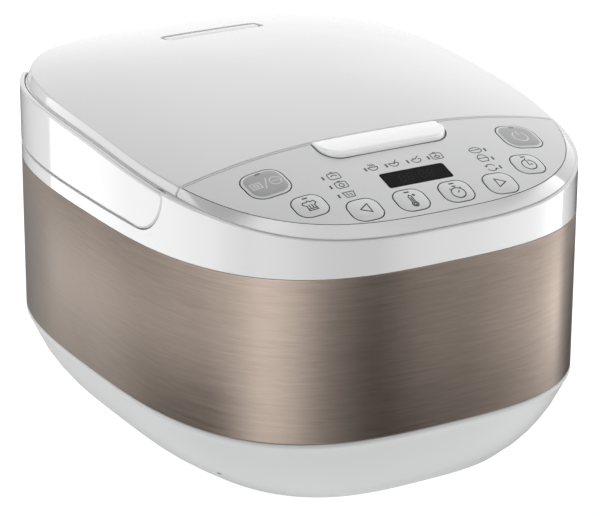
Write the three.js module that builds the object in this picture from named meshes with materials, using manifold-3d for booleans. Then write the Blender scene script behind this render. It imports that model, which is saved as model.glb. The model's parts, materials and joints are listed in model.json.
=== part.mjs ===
// Rice cooker: an oval body with a brushed metal band, a domed lid, a fixed control panel at the
// front and a carrying handle that lies folded round the back.
// Millimetres, +Z up, front towards -Y. The origin is on the floor, at the centre of the plan.

import * as THREE from 'three';
import { mergeVertices } from 'three/addons/utils/BufferGeometryUtils.js';
import Module from 'manifold-3d';

const wasm = await Module();
wasm.setup();

// ---------------------------------------------------------------- driving dimensions

const HALF_WIDTH = 142;
const HALF_DEPTH = 178.4;
const OUTLINE_POWER = 3.03;        // superellipse exponent of the plan outline
const OUTLINE_STEPS = 44;
const DOME_RINGS = [1, 0.88, 0.7, 0.4];
const HOLLOW_RINGS = [1, 0.75];
const GAP = 0.3;                   // running gap between pieces that rest on each other
const RING_STEPS = 36;             // facets round the pot and what is centred on it

const BASE_FLOOR_Z = 4;
const BASE_WALL = 2.5;
const BAND_BOTTOM_Z = 52.8;
const BAND_TOP_Z = 152.4;
const BAND_THICK = 1.2;
const HOUSING_WALL = 6.5;          // inset of the upper housing's inner face
const DECK_TOP_Z = 182;
const DECK_THICK = 3;

const SKIRT_INSET = 4.2;           // lower edge of the lid's and the panel's skirt
const EDGE_INSET = 6.6;            // where the skirt meets the dome
const CROWN = 18.5;                // rise of the dome over its edge
const TOP_WALL = 2.8;
const PARTING_Y = -93;             // line between the lid and the control panel
const PARTING_GAP = 0.4;           // half of the gap on that line

const POT_Y = 25;                  // centre of the pot, plate and liner
const POT_RADIUS = 108;
const POT_WALL = 2.2;
const POT_BOTTOM_Z = 50;
const POT_RIM_Z = 184.3;
const POT_RIM_RADIUS = 114.5;
const LINER_RADIUS = 116;

const HINGE_Y = 163;
const HINGE_Z = 189;
const TROUGH_RADIUS = 19.5;        // room for the lid's rear edge to swing down
const TROUGH_WALL = 2.5;
const TROUGH_HALF = 112;
const KNUCKLE_RADIUS = 7.5;
const KNUCKLE_HALF = 46;
const EAR_INNER_X = 58;
const EAR_OUTER_X = 66;
const EAR_RADIUS = 6.6;

const HANDLE_THICK = 3;
const HANDLE_BOTTOM_Z = 162.4;
const HANDLE_REAR_TOP_Z = 176.6;   // the rear bar is lower, so that the lid can swing over it
const HANDLE_PIVOT_Y = -62;
const HANDLE_PIVOT_Z = 186.2;
const HANDLE_END_RADIUS = 24.6;
const POCKET_X = 132.9;            // depth that the turning end of the handle needs in the housing
const POCKET_TOP_Z = 189;
const ARM_ROOM_X = 136.8;          // room for the bar's first stretch while it turns

const BUTTON_TRAVEL_ROOM = 2;      // depth of free space under a pressed key
const KEY_PROUD = 0.5;
const KEY_DEPTH = 5;
const KEY_GAP = 0.35;
const FILM_THICK = 0.8;

const RELEASE_HALF = 42.5;
const RELEASE_FRONT_Y = -113;
const RELEASE_CORNER = 12;
const RELEASE_TOP_Z = 206.2;
const RELEASE_BOTTOM_Z = 197.5;
const SHELF_TOP_Z = 181.5;
const HOOK_PIVOT_Y = -98.5;
const HOOK_PIVOT_Z = 176;

const VENT_Y = 98.5;
const POST_X = 108;
const POST_Y = 105;

// ---------------------------------------------------------------- materials

function material(color, roughness, metalness = 0) {
  return new THREE.MeshStandardMaterial({ color, roughness, metalness });
}

const whitePlastic = () => material(0xf2f2f0, 0.25);
const greyPlastic = () => material(0xc8c8c6, 0.45);
const filmGrey = () => material(0xc9c9c8, 0.4);
const keyGrey = () => material(0xa3a3a3, 0.4);
const displayBlack = () => material(0x1c1c1e, 0.15);
const champagneSteel = () => material(0x97877a, 0.35, 0.9);
const steel = () => material(0xb8b8ba, 0.3, 1);
const aluminium = () => material(0xc4c6c8, 0.45, 0.9);
const darkCoating = () => material(0x2c2c2e, 0.5);
const darkPlastic = () => material(0x333335, 0.5);
const rubber = () => material(0x4a4a4c, 0.8);
const silicone = () => material(0xe2e2de, 0.6);
const circuitGreen = () => material(0x2d6a43, 0.5);

// ---------------------------------------------------------------- solids from three.js shapes

function toSolid(geometry) {
  const bare = geometry.clone();
  bare.deleteAttribute('normal');
  bare.deleteAttribute('uv');
  const merged = mergeVertices(bare, 1e-4);
  return new wasm.Manifold(new wasm.Mesh({
    numProp: 3,
    vertProperties: new Float32Array(merged.attributes.position.array),
    triVerts: new Uint32Array(merged.index.array),
  }));
}

function toGeometry(solid) {
  const mesh = solid.getMesh();
  const geometry = new THREE.BufferGeometry();
  geometry.setAttribute('position', new THREE.BufferAttribute(new Float32Array(mesh.vertProperties), 3));
  geometry.setIndex(new THREE.BufferAttribute(new Uint32Array(mesh.triVerts), 1));
  return geometry;
}

function box(x0, x1, y0, y1, z0, z1) {
  const geometry = new THREE.BoxGeometry(Math.abs(x1 - x0), y1 - y0, z1 - z0);
  geometry.translate((x0 + x1) / 2, (y0 + y1) / 2, (z0 + z1) / 2);
  return toSolid(geometry);
}

// A closed outline of [y, z] points, drawn out along X.
function prismAlongX(points, x0, x1) {
  const shape = new THREE.Shape(points.map(([y, z]) => new THREE.Vector2(y, z)));
  const geometry = new THREE.ExtrudeGeometry(shape, { depth: x1 - x0, bevelEnabled: false });
  const yzx = new THREE.Matrix4().makeBasis(
    new THREE.Vector3(0, 1, 0),
    new THREE.Vector3(0, 0, 1),
    new THREE.Vector3(1, 0, 0),
  );
  geometry.applyMatrix4(yzx);
  geometry.translate(x0, 0, 0);
  return toSolid(geometry);
}

function prismUp(shape, z0, z1, curveSegments = 5) {
  const geometry = new THREE.ExtrudeGeometry(shape, { depth: z1 - z0, bevelEnabled: false, curveSegments });
  geometry.translate(0, 0, z0);
  return toSolid(geometry);
}

function roundedRectangle(width, height, radius) {
  const x = width / 2;
  const y = height / 2;
  const shape = new THREE.Shape();
  shape.moveTo(-x + radius, -y);
  shape.lineTo(x - radius, -y);
  shape.absarc(x - radius, -y + radius, radius, -Math.PI / 2, 0, false);
  shape.absarc(x - radius, y - radius, radius, 0, Math.PI / 2, false);
  shape.absarc(-x + radius, y - radius, radius, Math.PI / 2, Math.PI, false);
  shape.absarc(-x + radius, -y + radius, radius, Math.PI, Math.PI * 1.5, false);
  return shape;
}

// A body turned about an upright axis; the profile's [radius, z] points close on themselves.
function turned(profile, x = 0, y = 0, segments = 24) {
  const points = profile.map(([r, z]) => new THREE.Vector2(r, z));
  points.push(points[0].clone());
  const geometry = new THREE.LatheGeometry(points, segments);
  geometry.rotateX(Math.PI / 2);
  geometry.translate(x, y, 0);
  return toSolid(geometry);
}

function upright(radius, z0, z1, x = 0, y = 0, segments = 24) {
  const geometry = new THREE.CylinderGeometry(radius, radius, z1 - z0, segments);
  geometry.rotateX(Math.PI / 2);
  geometry.translate(x, y, (z0 + z1) / 2);
  return toSolid(geometry);
}

function crosswise(radius, x0, x1, y, z, segments = 24) {
  const geometry = new THREE.CylinderGeometry(radius, radius, Math.abs(x1 - x0), segments);
  geometry.rotateZ(Math.PI / 2);
  geometry.translate((x0 + x1) / 2, y, z);
  return toSolid(geometry);
}

// Stacked closed rings of equal point counts, with a fan over the first and the last.
function loft(rings) {
  const count = rings[0].length;
  const vertices = rings.flat();
  const faces = [];
  for (let level = 0; level + 1 < rings.length; level += 1) {
    for (let i = 0; i < count; i += 1) {
      const a = level * count + i;
      const b = level * count + (i + 1) % count;
      faces.push(a, b, b + count, a, b + count, a + count);
    }
  }
  const ends = [rings[0], rings[rings.length - 1]];
  ends.forEach((ring, end) => {
    const middleHeight = ring.reduce((sum, point) => sum + point[2], 0) / count;
    const apex = ring.apex ?? [0, 0, middleHeight];
    const hub = vertices.push(apex) - 1;
    const start = end === 0 ? 0 : (rings.length - 1) * count;
    for (let i = 0; i < count; i += 1) {
      const a = start + i;
      const b = start + (i + 1) % count;
      faces.push(...(end === 0 ? [b, a, hub] : [a, b, hub]));
    }
  });
  const geometry = new THREE.BufferGeometry();
  geometry.setAttribute('position', new THREE.BufferAttribute(new Float32Array(vertices.flat()), 3));
  geometry.setIndex(faces);
  return toSolid(geometry);
}

// A coil spring standing upright: round wire swept along a helix.
function coil(radius, wire, z0, z1, turns, x, y) {
  const steps = turns * 8;
  const points = [];
  for (let i = 0; i <= steps; i += 1) {
    const angle = (i / steps) * turns * Math.PI * 2;
    const z = z0 + wire + (z1 - z0 - 2 * wire) * (i / steps);
    points.push(new THREE.Vector3(x + radius * Math.cos(angle), y + radius * Math.sin(angle), z));
  }
  return sweep(points, wire, steps);
}

// A torsion spring wound round an axis along X.
function torsionCoil(radius, wire, x0, x1, turns, y, z) {
  const steps = turns * 8;
  const points = [];
  for (let i = 0; i <= steps; i += 1) {
    const angle = (i / steps) * turns * Math.PI * 2;
    const x = x0 + wire + (x1 - x0 - 2 * wire) * (i / steps);
    points.push(new THREE.Vector3(x, y + radius * Math.cos(angle), z + radius * Math.sin(angle)));
  }
  return sweep(points, wire, steps);
}

function sweep(points, wire, steps) {
  const section = new THREE.Shape();
  section.absarc(0, 0, wire, 0, Math.PI * 2, false);
  const path = new THREE.CatmullRomCurve3(points);
  const geometry = new THREE.ExtrudeGeometry(section, {
    steps, curveSegments: 3, bevelEnabled: false, extrudePath: path,
  });
  return toSolid(geometry);
}

function union(...solids) {
  return solids.reduce((whole, next) => whole.add(next));
}

function cut(solid, ...tools) {
  return tools.reduce((rest, tool) => rest.subtract(tool), solid);
}

// ---------------------------------------------------------------- the cooker's own surfaces

function outlinePoint(inset, angle) {
  const across = Math.abs(Math.cos(angle) / (HALF_WIDTH - inset)) ** OUTLINE_POWER;
  const along = Math.abs(Math.sin(angle) / (HALF_DEPTH - inset)) ** OUTLINE_POWER;
  const reach = (across + along) ** (-1 / OUTLINE_POWER);
  return [reach * Math.cos(angle), reach * Math.sin(angle)];
}

// One ring of the plan outline; its height is a number or a function of y.
function outlineRing(inset, height, scale = 1) {
  const ring = [];
  for (let i = 0; i < OUTLINE_STEPS; i += 1) {
    const [x, y] = outlinePoint(inset, (i / OUTLINE_STEPS) * Math.PI * 2);
    const z = typeof height === 'function' ? height(x * scale, y * scale) : height;
    ring.push([x * scale, y * scale, z]);
  }
  return ring;
}

function outlineBlock(inset, z0, z1) {
  return loft([outlineRing(inset, z0), outlineRing(inset, z1)]);
}

function seamHeight(y) {
  return 197.7 + 0.064 * y - 0.00046 * y * y;
}

function edgeHeight(y) {
  return 202.4 + 0.071 * y - 0.00032 * y * y;
}

// Height of the dome over a plan point, held level at its edge outside the dome.
function domeHeight(x, y) {
  const across = Math.abs(x / (HALF_WIDTH - EDGE_INSET)) ** OUTLINE_POWER;
  const along = Math.abs(y / (HALF_DEPTH - EDGE_INSET)) ** OUTLINE_POWER;
  const rho = Math.min((across + along) ** (1 / OUTLINE_POWER), 1);
  return edgeHeight(y) + CROWN * (1 - rho * rho);
}

// The whole top as one solid, from well below the seam up to the dome, drawn in by a wall.
function topSolid(wall, domeRings = DOME_RINGS) {
  const low = 150;
  const middleInset = SKIRT_INSET + 0.6;
  const middle = (x, y) => seamHeight(y) + 0.6 * (edgeHeight(y) - seamHeight(y)) - wall;
  const rings = [
    outlineRing(SKIRT_INSET + wall, low),
    outlineRing(SKIRT_INSET + wall, (x, y) => seamHeight(y) - wall),
    outlineRing(middleInset + wall, middle),
  ];
  for (const scale of domeRings) {
    rings.push(outlineRing(EDGE_INSET + wall, (x, y) => domeHeight(x, y) - wall, scale));
  }
  const last = rings[rings.length - 1];
  last.apex = [0, 0, domeHeight(0, 0) - wall];
  return loft(rings);
}

// Everything under the seam line, drawn as one prism across the whole width.
function belowSeam(rise) {
  const points = [];
  for (let y = -200; y <= 200; y += 10) {
    points.push([y, seamHeight(y) + rise]);
  }
  points.push([200, 100], [-200, 100]);
  return prismAlongX(points, -200, 200);
}

// A thin layer of the dome, between two depths under its surface.
function domeLayer(upper, lower) {
  const far = 300;
  const block = outlineBlock(EDGE_INSET - 1, 120, far);
  return domeSheet(-upper).subtract(domeSheet(-lower)).intersect(block);
}

function domeSheet(rise) {
  const rings = [outlineRing(EDGE_INSET - 2, 120)];
  rings.push(outlineRing(EDGE_INSET - 2, (x, y) => edgeHeight(y) + rise));
  for (const scale of DOME_RINGS) {
    rings.push(outlineRing(EDGE_INSET, (x, y) => domeHeight(x, y) + rise, scale));
  }
  rings[rings.length - 1].apex = [0, 0, domeHeight(0, 0) + rise];
  return loft(rings);
}

// ---------------------------------------------------------------- control keys

const LARGE_KEY = { width: 26, height: 24.5, corner: 8.5 };
const SMALL_KEY = { width: 19.6, height: 18.2, corner: 6.8 };
const KEYS = [
  { name: 'keep_warm_button', x: -86.5, y: -117.8, size: LARGE_KEY, colour: keyGrey },
  { name: 'power_button', x: 86.5, y: -117.8, size: LARGE_KEY, colour: keyGrey },
  { name: 'recipe_button', x: -73.8, y: -145.4, size: SMALL_KEY, colour: filmGrey },
  { name: 'delay_button', x: 73.8, y: -145.4, size: SMALL_KEY, colour: filmGrey },
  { name: 'back_arrow_button', x: -45.7, y: -158.7, size: SMALL_KEY, colour: filmGrey },
  { name: 'next_arrow_button', x: 45.7, y: -158.7, size: SMALL_KEY, colour: filmGrey },
  { name: 'temperature_button', x: -15.2, y: -158.8, size: SMALL_KEY, colour: filmGrey },
  { name: 'timer_button', x: 15.2, y: -158.8, size: SMALL_KEY, colour: filmGrey },
];

// The slope of the dome at a point, as a turned frame whose Z is the surface normal.
function surfaceFrame(x, y) {
  const step = 2;
  const slopeX = (domeHeight(x + step, y) - domeHeight(x - step, y)) / (2 * step);
  const slopeY = (domeHeight(x, y + step) - domeHeight(x, y - step)) / (2 * step);
  const normal = new THREE.Vector3(-slopeX, -slopeY, 1).normalize();
  const right = new THREE.Vector3(1, 0, slopeX).normalize();
  const back = new THREE.Vector3().crossVectors(normal, right);
  const frame = new THREE.Matrix4().makeBasis(right, back, normal);
  frame.setPosition(x, y, domeHeight(x, y));
  return frame;
}

function onSurface(shape, x, y, low, high) {
  const geometry = new THREE.ExtrudeGeometry(shape, {
    depth: high - low, bevelEnabled: false, curveSegments: 2,
  });
  geometry.translate(0, 0, low);
  geometry.applyMatrix4(surfaceFrame(x, y));
  return toSolid(geometry);
}

function keyBody(key) {
  const { width, height, corner } = key.size;
  return onSurface(roundedRectangle(width, height, corner), key.x, key.y, -KEY_DEPTH, KEY_PROUD);
}

function keyHole(key) {
  const { width, height, corner } = key.size;
  const shape = roundedRectangle(width + 2 * KEY_GAP, height + 2 * KEY_GAP, corner + KEY_GAP);
  return onSurface(shape, key.x, key.y, -12, 6);
}

// ---------------------------------------------------------------- display

const DISPLAY = { x: 0, y: -140.1, width: 43, height: 13.4, corner: 1.2 };

function displayBlock(margin, low, high) {
  const shape = roundedRectangle(DISPLAY.width + 2 * margin, DISPLAY.height + 2 * margin, DISPLAY.corner);
  return onSurface(shape, DISPLAY.x, DISPLAY.y, low, high);
}

// ---------------------------------------------------------------- release button outline

function releaseOutline(margin) {
  const half = RELEASE_HALF + margin;
  const front = RELEASE_FRONT_Y - margin;
  const rear = PARTING_Y - PARTING_GAP + margin;
  const radius = RELEASE_CORNER + margin;
  const shape = new THREE.Shape();
  shape.moveTo(half, rear);
  shape.lineTo(-half, rear);
  shape.lineTo(-half, front + radius);
  shape.absarc(-half + radius, front + radius, radius, Math.PI, Math.PI * 1.5, false);
  shape.absarc(half - radius, front + radius, radius, Math.PI * 1.5, Math.PI * 2, false);
  return shape;
}

// ---------------------------------------------------------------- handle

// Side outline of the handle, as [y, z] points, grown by a margin for its recess.
function handleOutline(margin) {
  const points = [];
  const radius = HANDLE_END_RADIUS + margin;
  const bottom = HANDLE_BOTTOM_Z - margin;
  const steps = 10;
  points.push([200, bottom]);
  points.push([HANDLE_PIVOT_Y + 12, bottom]);
  for (let i = 0; i <= steps; i += 1) {
    const angle = -Math.PI / 2 - (i / steps) * (Math.PI / 2 + 0.02);
    const y = HANDLE_PIVOT_Y + radius * Math.cos(angle);
    const z = HANDLE_PIVOT_Z + radius * Math.sin(angle);
    points.push([y, z]);
  }
  if (margin > 0) {
    points.push([HANDLE_PIVOT_Y - radius, 230], [200, 230]);
    return points;
  }
  for (let y = HANDLE_PIVOT_Y - radius; y <= 104; y += 12) {
    points.push([y, seamHeight(y) - GAP - 0.2]);
  }
  points.push([112, 197.4], [126, 192], [140, 183.5], [152, 178], [160, HANDLE_REAR_TOP_Z]);
  points.push([200, HANDLE_REAR_TOP_Z]);
  return points;
}

// ---------------------------------------------------------------- assembly

const cooker = new THREE.Group();
cooker.name = 'rice_cooker';

function addPart(name, solid, makeMaterial) {
  const mesh = new THREE.Mesh(toGeometry(solid), makeMaterial());
  mesh.name = name;
  cooker.add(mesh);
}

const SIDES = [['left', -1], ['right', 1]];
const CORNERS = [
  ['front_left', -1, -1], ['front_right', 1, -1], ['rear_left', -1, 1], ['rear_right', 1, 1],
];

// Base: a tapered tray with a bright lip under the band, drain slots and four screw bosses.
const BASE_PROFILE = [
  [36, 4], [24, 12], [13, 24.5], [5, 39], [1.2, 48.8], [0, 49.8], [0, 52.5],
];
const FEET = { x: 72, y: 104, radius: 11 };
const INLET = { half: 22, front: 142, rear: 170, low: 17, high: 44 };

function makeBase() {
  const outer = loft(BASE_PROFILE.map(([inset, z]) => outlineRing(inset, z)));
  const innerProfile = BASE_PROFILE.filter(([, z]) => z > 20 && z < 40);
  const innerRings = innerProfile.map(([inset, z]) => outlineRing(inset + BASE_WALL, z));
  const lowest = outlineRing(36, BASE_FLOOR_Z + 3);
  const topRing = outlineRing(BASE_WALL, 60);
  let base = outer.subtract(loft([lowest, ...innerRings, topRing]));
  for (const [, sideX, sideY] of CORNERS) {
    const boss = upright(6, 6, 23.7, sideX * POST_X, sideY * POST_Y, 12).intersect(outer);
    base = base.add(boss);
    base = base.subtract(upright(1.8, 0, 40, sideX * POST_X, sideY * POST_Y, 10));
    base = base.subtract(upright(4.2, 0, 19, sideX * POST_X, sideY * POST_Y, 12));
    base = base.subtract(upright(3, 0, 20, sideX * FEET.x, sideY * FEET.y, 12));
  }
  for (let x = -40; x <= 40; x += 16) {
    base = base.subtract(box(x - 2.5, x + 2.5, -30, 30, 0, 12));
  }
  const { half, front, rear, low, high } = INLET;
  return base.subtract(box(-half - GAP, half + GAP, front, rear + 20, low - GAP, high + GAP));
}

addPart('base_housing', makeBase(), whitePlastic);

for (const [corner, sideX, sideY] of CORNERS) {
  const x = sideX * FEET.x;
  const y = sideY * FEET.y;
  const profile = [
    [0, 0], [9.5, 0], [FEET.radius, 1.2], [FEET.radius, 3.7], [2.7, 3.7], [2.7, 9.5], [0, 9.5],
  ];
  addPart(`foot_${corner}`, turned(profile, x, y, 14), rubber);
}

// Mains inlet: a box in the rear of the base with a socket for a lead and three pins.
function makeInlet() {
  const { half, front, rear, low, high } = INLET;
  const body = box(-half, half, front, rear - 12, low, high);
  const neck = box(-half, half, rear - 12.5, rear - 3, low + 6, high);
  const socket = box(-half + 3, half - 3, front + 6, rear + 5, low + 9, high - 3);
  return cut(union(body, neck), socket);
}

addPart('power_inlet', makeInlet(), darkPlastic);
for (const [name, x, width] of [['left', -10, 2], ['middle', 0, 1.6], ['right', 10, 2]]) {
  const pin = box(x - width / 2, x + width / 2, INLET.front + 6.3, INLET.front + 18, 28, 33);
  addPart(`inlet_pin_${name}`, pin, steel);
}

// Brushed metal band round the middle of the body.
const bandOuter = outlineBlock(0, BAND_BOTTOM_Z, BAND_TOP_Z);
addPart('outer_shell', bandOuter.subtract(outlineBlock(BAND_THICK, 40, 170)), champagneSteel);

// Upper housing: outer wall, deck round the pot, hinge trough, handle recess and screw posts.
function makeUpperHousing() {
  const low = BAND_TOP_Z + GAP;
  const deckUnder = DECK_TOP_Z - DECK_THICK;
  const wall = PARTING_Y - 3;
  const rings = [
    outlineRing(0, low),
    outlineRing(0, (x, y) => seamHeight(y) - 2.2),
    outlineRing(1.4, (x, y) => seamHeight(y) - 0.4),
    outlineRing(9, (x, y) => seamHeight(y) - 0.4),
  ];
  const body = loft(rings);
  const inside = outlineBlock(HOUSING_WALL, 100, 260);
  const troughOuterHalf = TROUGH_HALF + 3;
  const troughOuter = crosswise(
    TROUGH_RADIUS + TROUGH_WALL, -troughOuterHalf, troughOuterHalf, HINGE_Y, HINGE_Z, 32,
  );
  const underDeck = inside.intersect(box(-200, 200, PARTING_Y, 200, 100, deckUnder)).subtract(troughOuter);
  const overDeck = inside.intersect(box(-200, 200, PARTING_Y, 200, DECK_TOP_Z, 260));
  const frontBay = inside.intersect(box(-200, 200, -200, wall, 100, 260));
  const trough = crosswise(TROUGH_RADIUS, -TROUGH_HALF, TROUGH_HALF, HINGE_Y, HINGE_Z, 32);
  const troughSweep = box(-TROUGH_HALF, TROUGH_HALF, HINGE_Y, 200, HINGE_Z - 12, 260);
  const ring = outlineBlock(-10, 100, 260).subtract(outlineBlock(HANDLE_THICK + 0.5, 90, 270));
  const recess = prismAlongX(handleOutline(0.6), -200, 200).intersect(ring);
  const potHole = upright(POT_RADIUS + 2, 150, 260, 0, POT_Y, 40);
  let housing = cut(body, underDeck, overDeck, frontBay, trough, troughSweep, recess, potHole);

  for (const [, side] of SIDES) {
    const ear = union(
      crosswise(EAR_RADIUS, side * EAR_INNER_X, side * EAR_OUTER_X, HINGE_Y, HINGE_Z, 20),
      box(side * EAR_INNER_X, side * EAR_OUTER_X,
        HINGE_Y - EAR_RADIUS, HINGE_Y + 2, HINGE_Z - TROUGH_RADIUS - 1, HINGE_Z),
    );
    housing = housing.add(ear);
    housing = makeHandlePocket(housing, side);
    housing = housing.subtract(crosswise(2.2, side * 120, side * 160, HANDLE_PIVOT_Y, HANDLE_PIVOT_Z, 14));
  }
  housing = housing.subtract(crosswise(3.3, -EAR_OUTER_X - 5, EAR_OUTER_X + 5, HINGE_Y, HINGE_Z));

  for (const [, sideX, sideY] of CORNERS) {
    const post = upright(4.5, 24, deckUnder + 0.5, sideX * POST_X, sideY * POST_Y, 10);
    const arm = sideY < 0 ? frontPostArm(sideX) : post;
    housing = union(housing, post, arm);
    housing = housing.subtract(upright(1.7, 20, 46, sideX * POST_X, sideY * POST_Y, 10));
  }

  const shelf = box(-48, 48, -117, wall + 0.5, SHELF_TOP_Z - 2.5, SHELF_TOP_Z);
  housing = union(housing, shelf);
  housing = housing.subtract(box(-8.5, 8.5, -120, PARTING_Y + 1, 168, 260));
  for (const [, side] of SIDES) {
    const cheek = box(side * 8.6, side * 12.4,
      HOOK_PIVOT_Y - 4.5, wall + 0.5, HOOK_PIVOT_Z - 5, SHELF_TOP_Z - 2);
    housing = housing.add(cheek);
  }
  return housing.subtract(crosswise(2.1, -16, 16, HOOK_PIVOT_Y, HOOK_PIVOT_Z, 16));
}

// The handle's end turns in a round pocket, closed behind by a disc that holds the pivot pin.
function makeHandlePocket(housing, side) {
  const radius = HANDLE_END_RADIUS + 0.6;
  const disc = crosswise(
    radius + 2.4, side * (POCKET_X - 3.3), side * (POCKET_X + 0.6), HANDLE_PIVOT_Y, HANDLE_PIVOT_Z, 32,
  );
  const boss = crosswise(
    5.4, side * (HALF_WIDTH - 16), side * POCKET_X, HANDLE_PIVOT_Y, HANDLE_PIVOT_Z - 1.8, 16,
  );
  const pocket = crosswise(radius, side * POCKET_X, side * 160, HANDLE_PIVOT_Y, HANDLE_PIVOT_Z, 40);
  const armRoom = crosswise(radius + 9, side * ARM_ROOM_X, side * 160, HANDLE_PIVOT_Y, HANDLE_PIVOT_Z, 40);
  const underLid = box(-200, 200, -200, 200, 100, POCKET_TOP_Z + 0.9);
  const underRim = box(-200, 200, -200, 200, 100, POCKET_TOP_Z);
  const backing = disc.intersect(underLid).intersect(belowSeam(-0.5));
  const handleSpace = prismAlongX(handleOutline(0.6), -200, 200);
  return cut(union(housing, backing, boss), pocket.intersect(underRim), armRoom.intersect(handleSpace));
}

// In the front bay the posts have no deck over them, so a rib ties each one to the side wall.
function frontPostArm(side) {
  const rib = box(side * POST_X, side * (POST_X + 26), -POST_Y - 2, -POST_Y + 2, BAND_TOP_Z + GAP + 2, 176);
  return rib.intersect(outlineBlock(HOUSING_WALL - 1, 100, 260));
}

addPart('upper_housing', makeUpperHousing(), whitePlastic);

for (const [corner, sideX, sideY] of CORNERS) {
  const x = sideX * POST_X;
  const y = sideY * POST_Y;
  const profile = [[0, 15.5], [3.6, 15.5], [3.6, 18.7], [1.4, 18.7], [1.4, 40], [0, 40]];
  addPart(`base_screw_${corner}`, turned(profile, x, y, 12), steel);
}

// Carrying handle: one bent strip round the back, pivoting on a pin in each side.
function makeHandle() {
  const strip = outlineBlock(0, 150, 210).subtract(outlineBlock(HANDLE_THICK, 140, 220));
  let handle = strip.intersect(prismAlongX(handleOutline(0), -200, 200));
  for (const [, side] of SIDES) {
    handle = handle.subtract(crosswise(2.2, side * 120, side * 139.2, HANDLE_PIVOT_Y, HANDLE_PIVOT_Z, 14));
  }
  return handle;
}

addPart('carry_handle', makeHandle(), whitePlastic);
for (const [name, side] of SIDES) {
  const pin = crosswise(2, side * 127, side * 139, HANDLE_PIVOT_Y, HANDLE_PIVOT_Z, 14);
  addPart(`handle_pivot_${name}`, pin, steel);
}

// Cooking chamber: liner, side heater, heating plate, sensor and its spring.
const LINER_FLOOR_Z = 30;
addPart('inner_liner', turned([
  [99, LINER_FLOOR_Z], [LINER_RADIUS, LINER_FLOOR_Z], [LINER_RADIUS, DECK_TOP_Z - DECK_THICK - GAP],
  [LINER_RADIUS - 1.4, DECK_TOP_Z - DECK_THICK - GAP], [LINER_RADIUS - 1.4, LINER_FLOOR_Z + 1.5],
  [99, LINER_FLOOR_Z + 1.5],
], 0, POT_Y, RING_STEPS), aluminium);
addPart('side_heater', turned([
  [LINER_RADIUS + 0.4, 90], [LINER_RADIUS + 2, 90], [LINER_RADIUS + 2, 118], [LINER_RADIUS + 0.4, 118],
], 0, POT_Y, RING_STEPS), silicone);
addPart('heating_plate', turned([
  [20, 41], [90, 41], [90, 31.8], [110, 31.8], [110, 34], [96, 34], [96, 47.2], [92, 49.7], [20, 49.7],
], 0, POT_Y, RING_STEPS), aluminium);
const SENSOR_SPRING_Z = 18;
addPart('thermostat_sensor', turned([
  [0, 33], [6, 33], [6, 42], [16, 42], [17.5, 43.5], [17.5, 48.4], [16.4, 49.7], [0, 49.7],
], 0, POT_Y, 28), aluminium);
addPart('thermostat_spring', coil(9.5, 0.8, SENSOR_SPRING_Z, 41.7, 4, 0, POT_Y), steel);
addPart('thermostat_bracket', cut(
  union(box(-24, 24, POT_Y - 14, POT_Y + 14, 15.7, 17.7), upright(7.6, 15.7, 29, 0, POT_Y)),
  upright(6.4, 17.7, 35, 0, POT_Y),
), steel);
addPart('thermal_fuse', box(30, 52, POT_Y - 5, POT_Y + 5, 34, 40.6), darkPlastic);

// Inner pot with a rolled rim that rests on the deck.
addPart('inner_pot', turned([
  [0, POT_BOTTOM_Z], [92, POT_BOTTOM_Z], [102.5, POT_BOTTOM_Z + 4.5], [POT_RADIUS, POT_BOTTOM_Z + 15],
  [POT_RADIUS, DECK_TOP_Z + GAP], [POT_RIM_RADIUS - 0.8, DECK_TOP_Z + GAP],
  [POT_RIM_RADIUS, DECK_TOP_Z + 1.3],
  [POT_RIM_RADIUS - 0.8, POT_RIM_Z], [POT_RADIUS - POT_WALL, POT_RIM_Z],
  [POT_RADIUS - POT_WALL, POT_BOTTOM_Z + 16], [100.8, POT_BOTTOM_Z + 6.5], [91, POT_BOTTOM_Z + POT_WALL],
  [0, POT_BOTTOM_Z + POT_WALL],
], 0, POT_Y, RING_STEPS), darkCoating);

// Power board in the front bay of the body, with its transformer, relay and capacitor.
addPart('power_board', union(
  box(-58, 58, -142, -102, 60, 61.6),
  box(-50, -22, -136, -108, 61.5, 88),
  box(-10, 12, -130, -114, 61.5, 80),
  upright(7, 61.5, 92, 36, -122, 16),
), circuitGreen);

// ---------------------------------------------------------------- control panel

const panelKeep = box(-200, 200, -200, PARTING_Y - PARTING_GAP, 100, 260);
const filmOutline = outlineBlock(EDGE_INSET + 0.5, 100, 260);

function makePanelHousing() {
  const rearWallY = PARTING_Y - PARTING_GAP - 2.4;
  const hollow = topSolid(TOP_WALL, HOLLOW_RINGS).intersect(box(-200, 200, -200, rearWallY, 100, 260));
  let panel = topSolid(0).intersect(panelKeep).subtract(hollow).subtract(belowSeam(0));
  const filmBed = domeLayer(-8, FILM_THICK + 0.3).intersect(filmOutline);
  panel = panel.subtract(filmBed.intersect(box(-200, 200, -200, PARTING_Y - 1.6, 100, 260)));
  for (const key of KEYS) {
    panel = panel.subtract(keyHole(key));
  }
  panel = panel.subtract(displayBlock(GAP, -12, 6));
  panel = panel.subtract(prismUp(releaseOutline(0.6), RELEASE_BOTTOM_Z - 5, 260));
  return panel.subtract(box(-9, 9, -120, PARTING_Y + 1, 168, 260));
}

addPart('panel_housing', makePanelHousing(), whitePlastic);

function makeControlFilm() {
  const clear = box(-200, 200, -200, PARTING_Y - 2, 100, 260);
  const inner = outlineBlock(EDGE_INSET + 0.9, 100, 260);
  let film = domeLayer(0, FILM_THICK).intersect(inner).intersect(clear);
  for (const key of KEYS) {
    film = film.subtract(keyHole(key));
  }
  film = film.subtract(displayBlock(GAP, -12, 6));
  return film.subtract(prismUp(releaseOutline(1.4), 150, 260));
}

addPart('control_film', makeControlFilm(), filmGrey);
for (const key of KEYS) {
  addPart(key.name, keyBody(key), key.colour);
}
addPart('display_window', displayBlock(0, -2.2, 0), displayBlack);
addPart('display_module', displayBlock(-1, -7.8, -2.5), darkPlastic);

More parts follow.
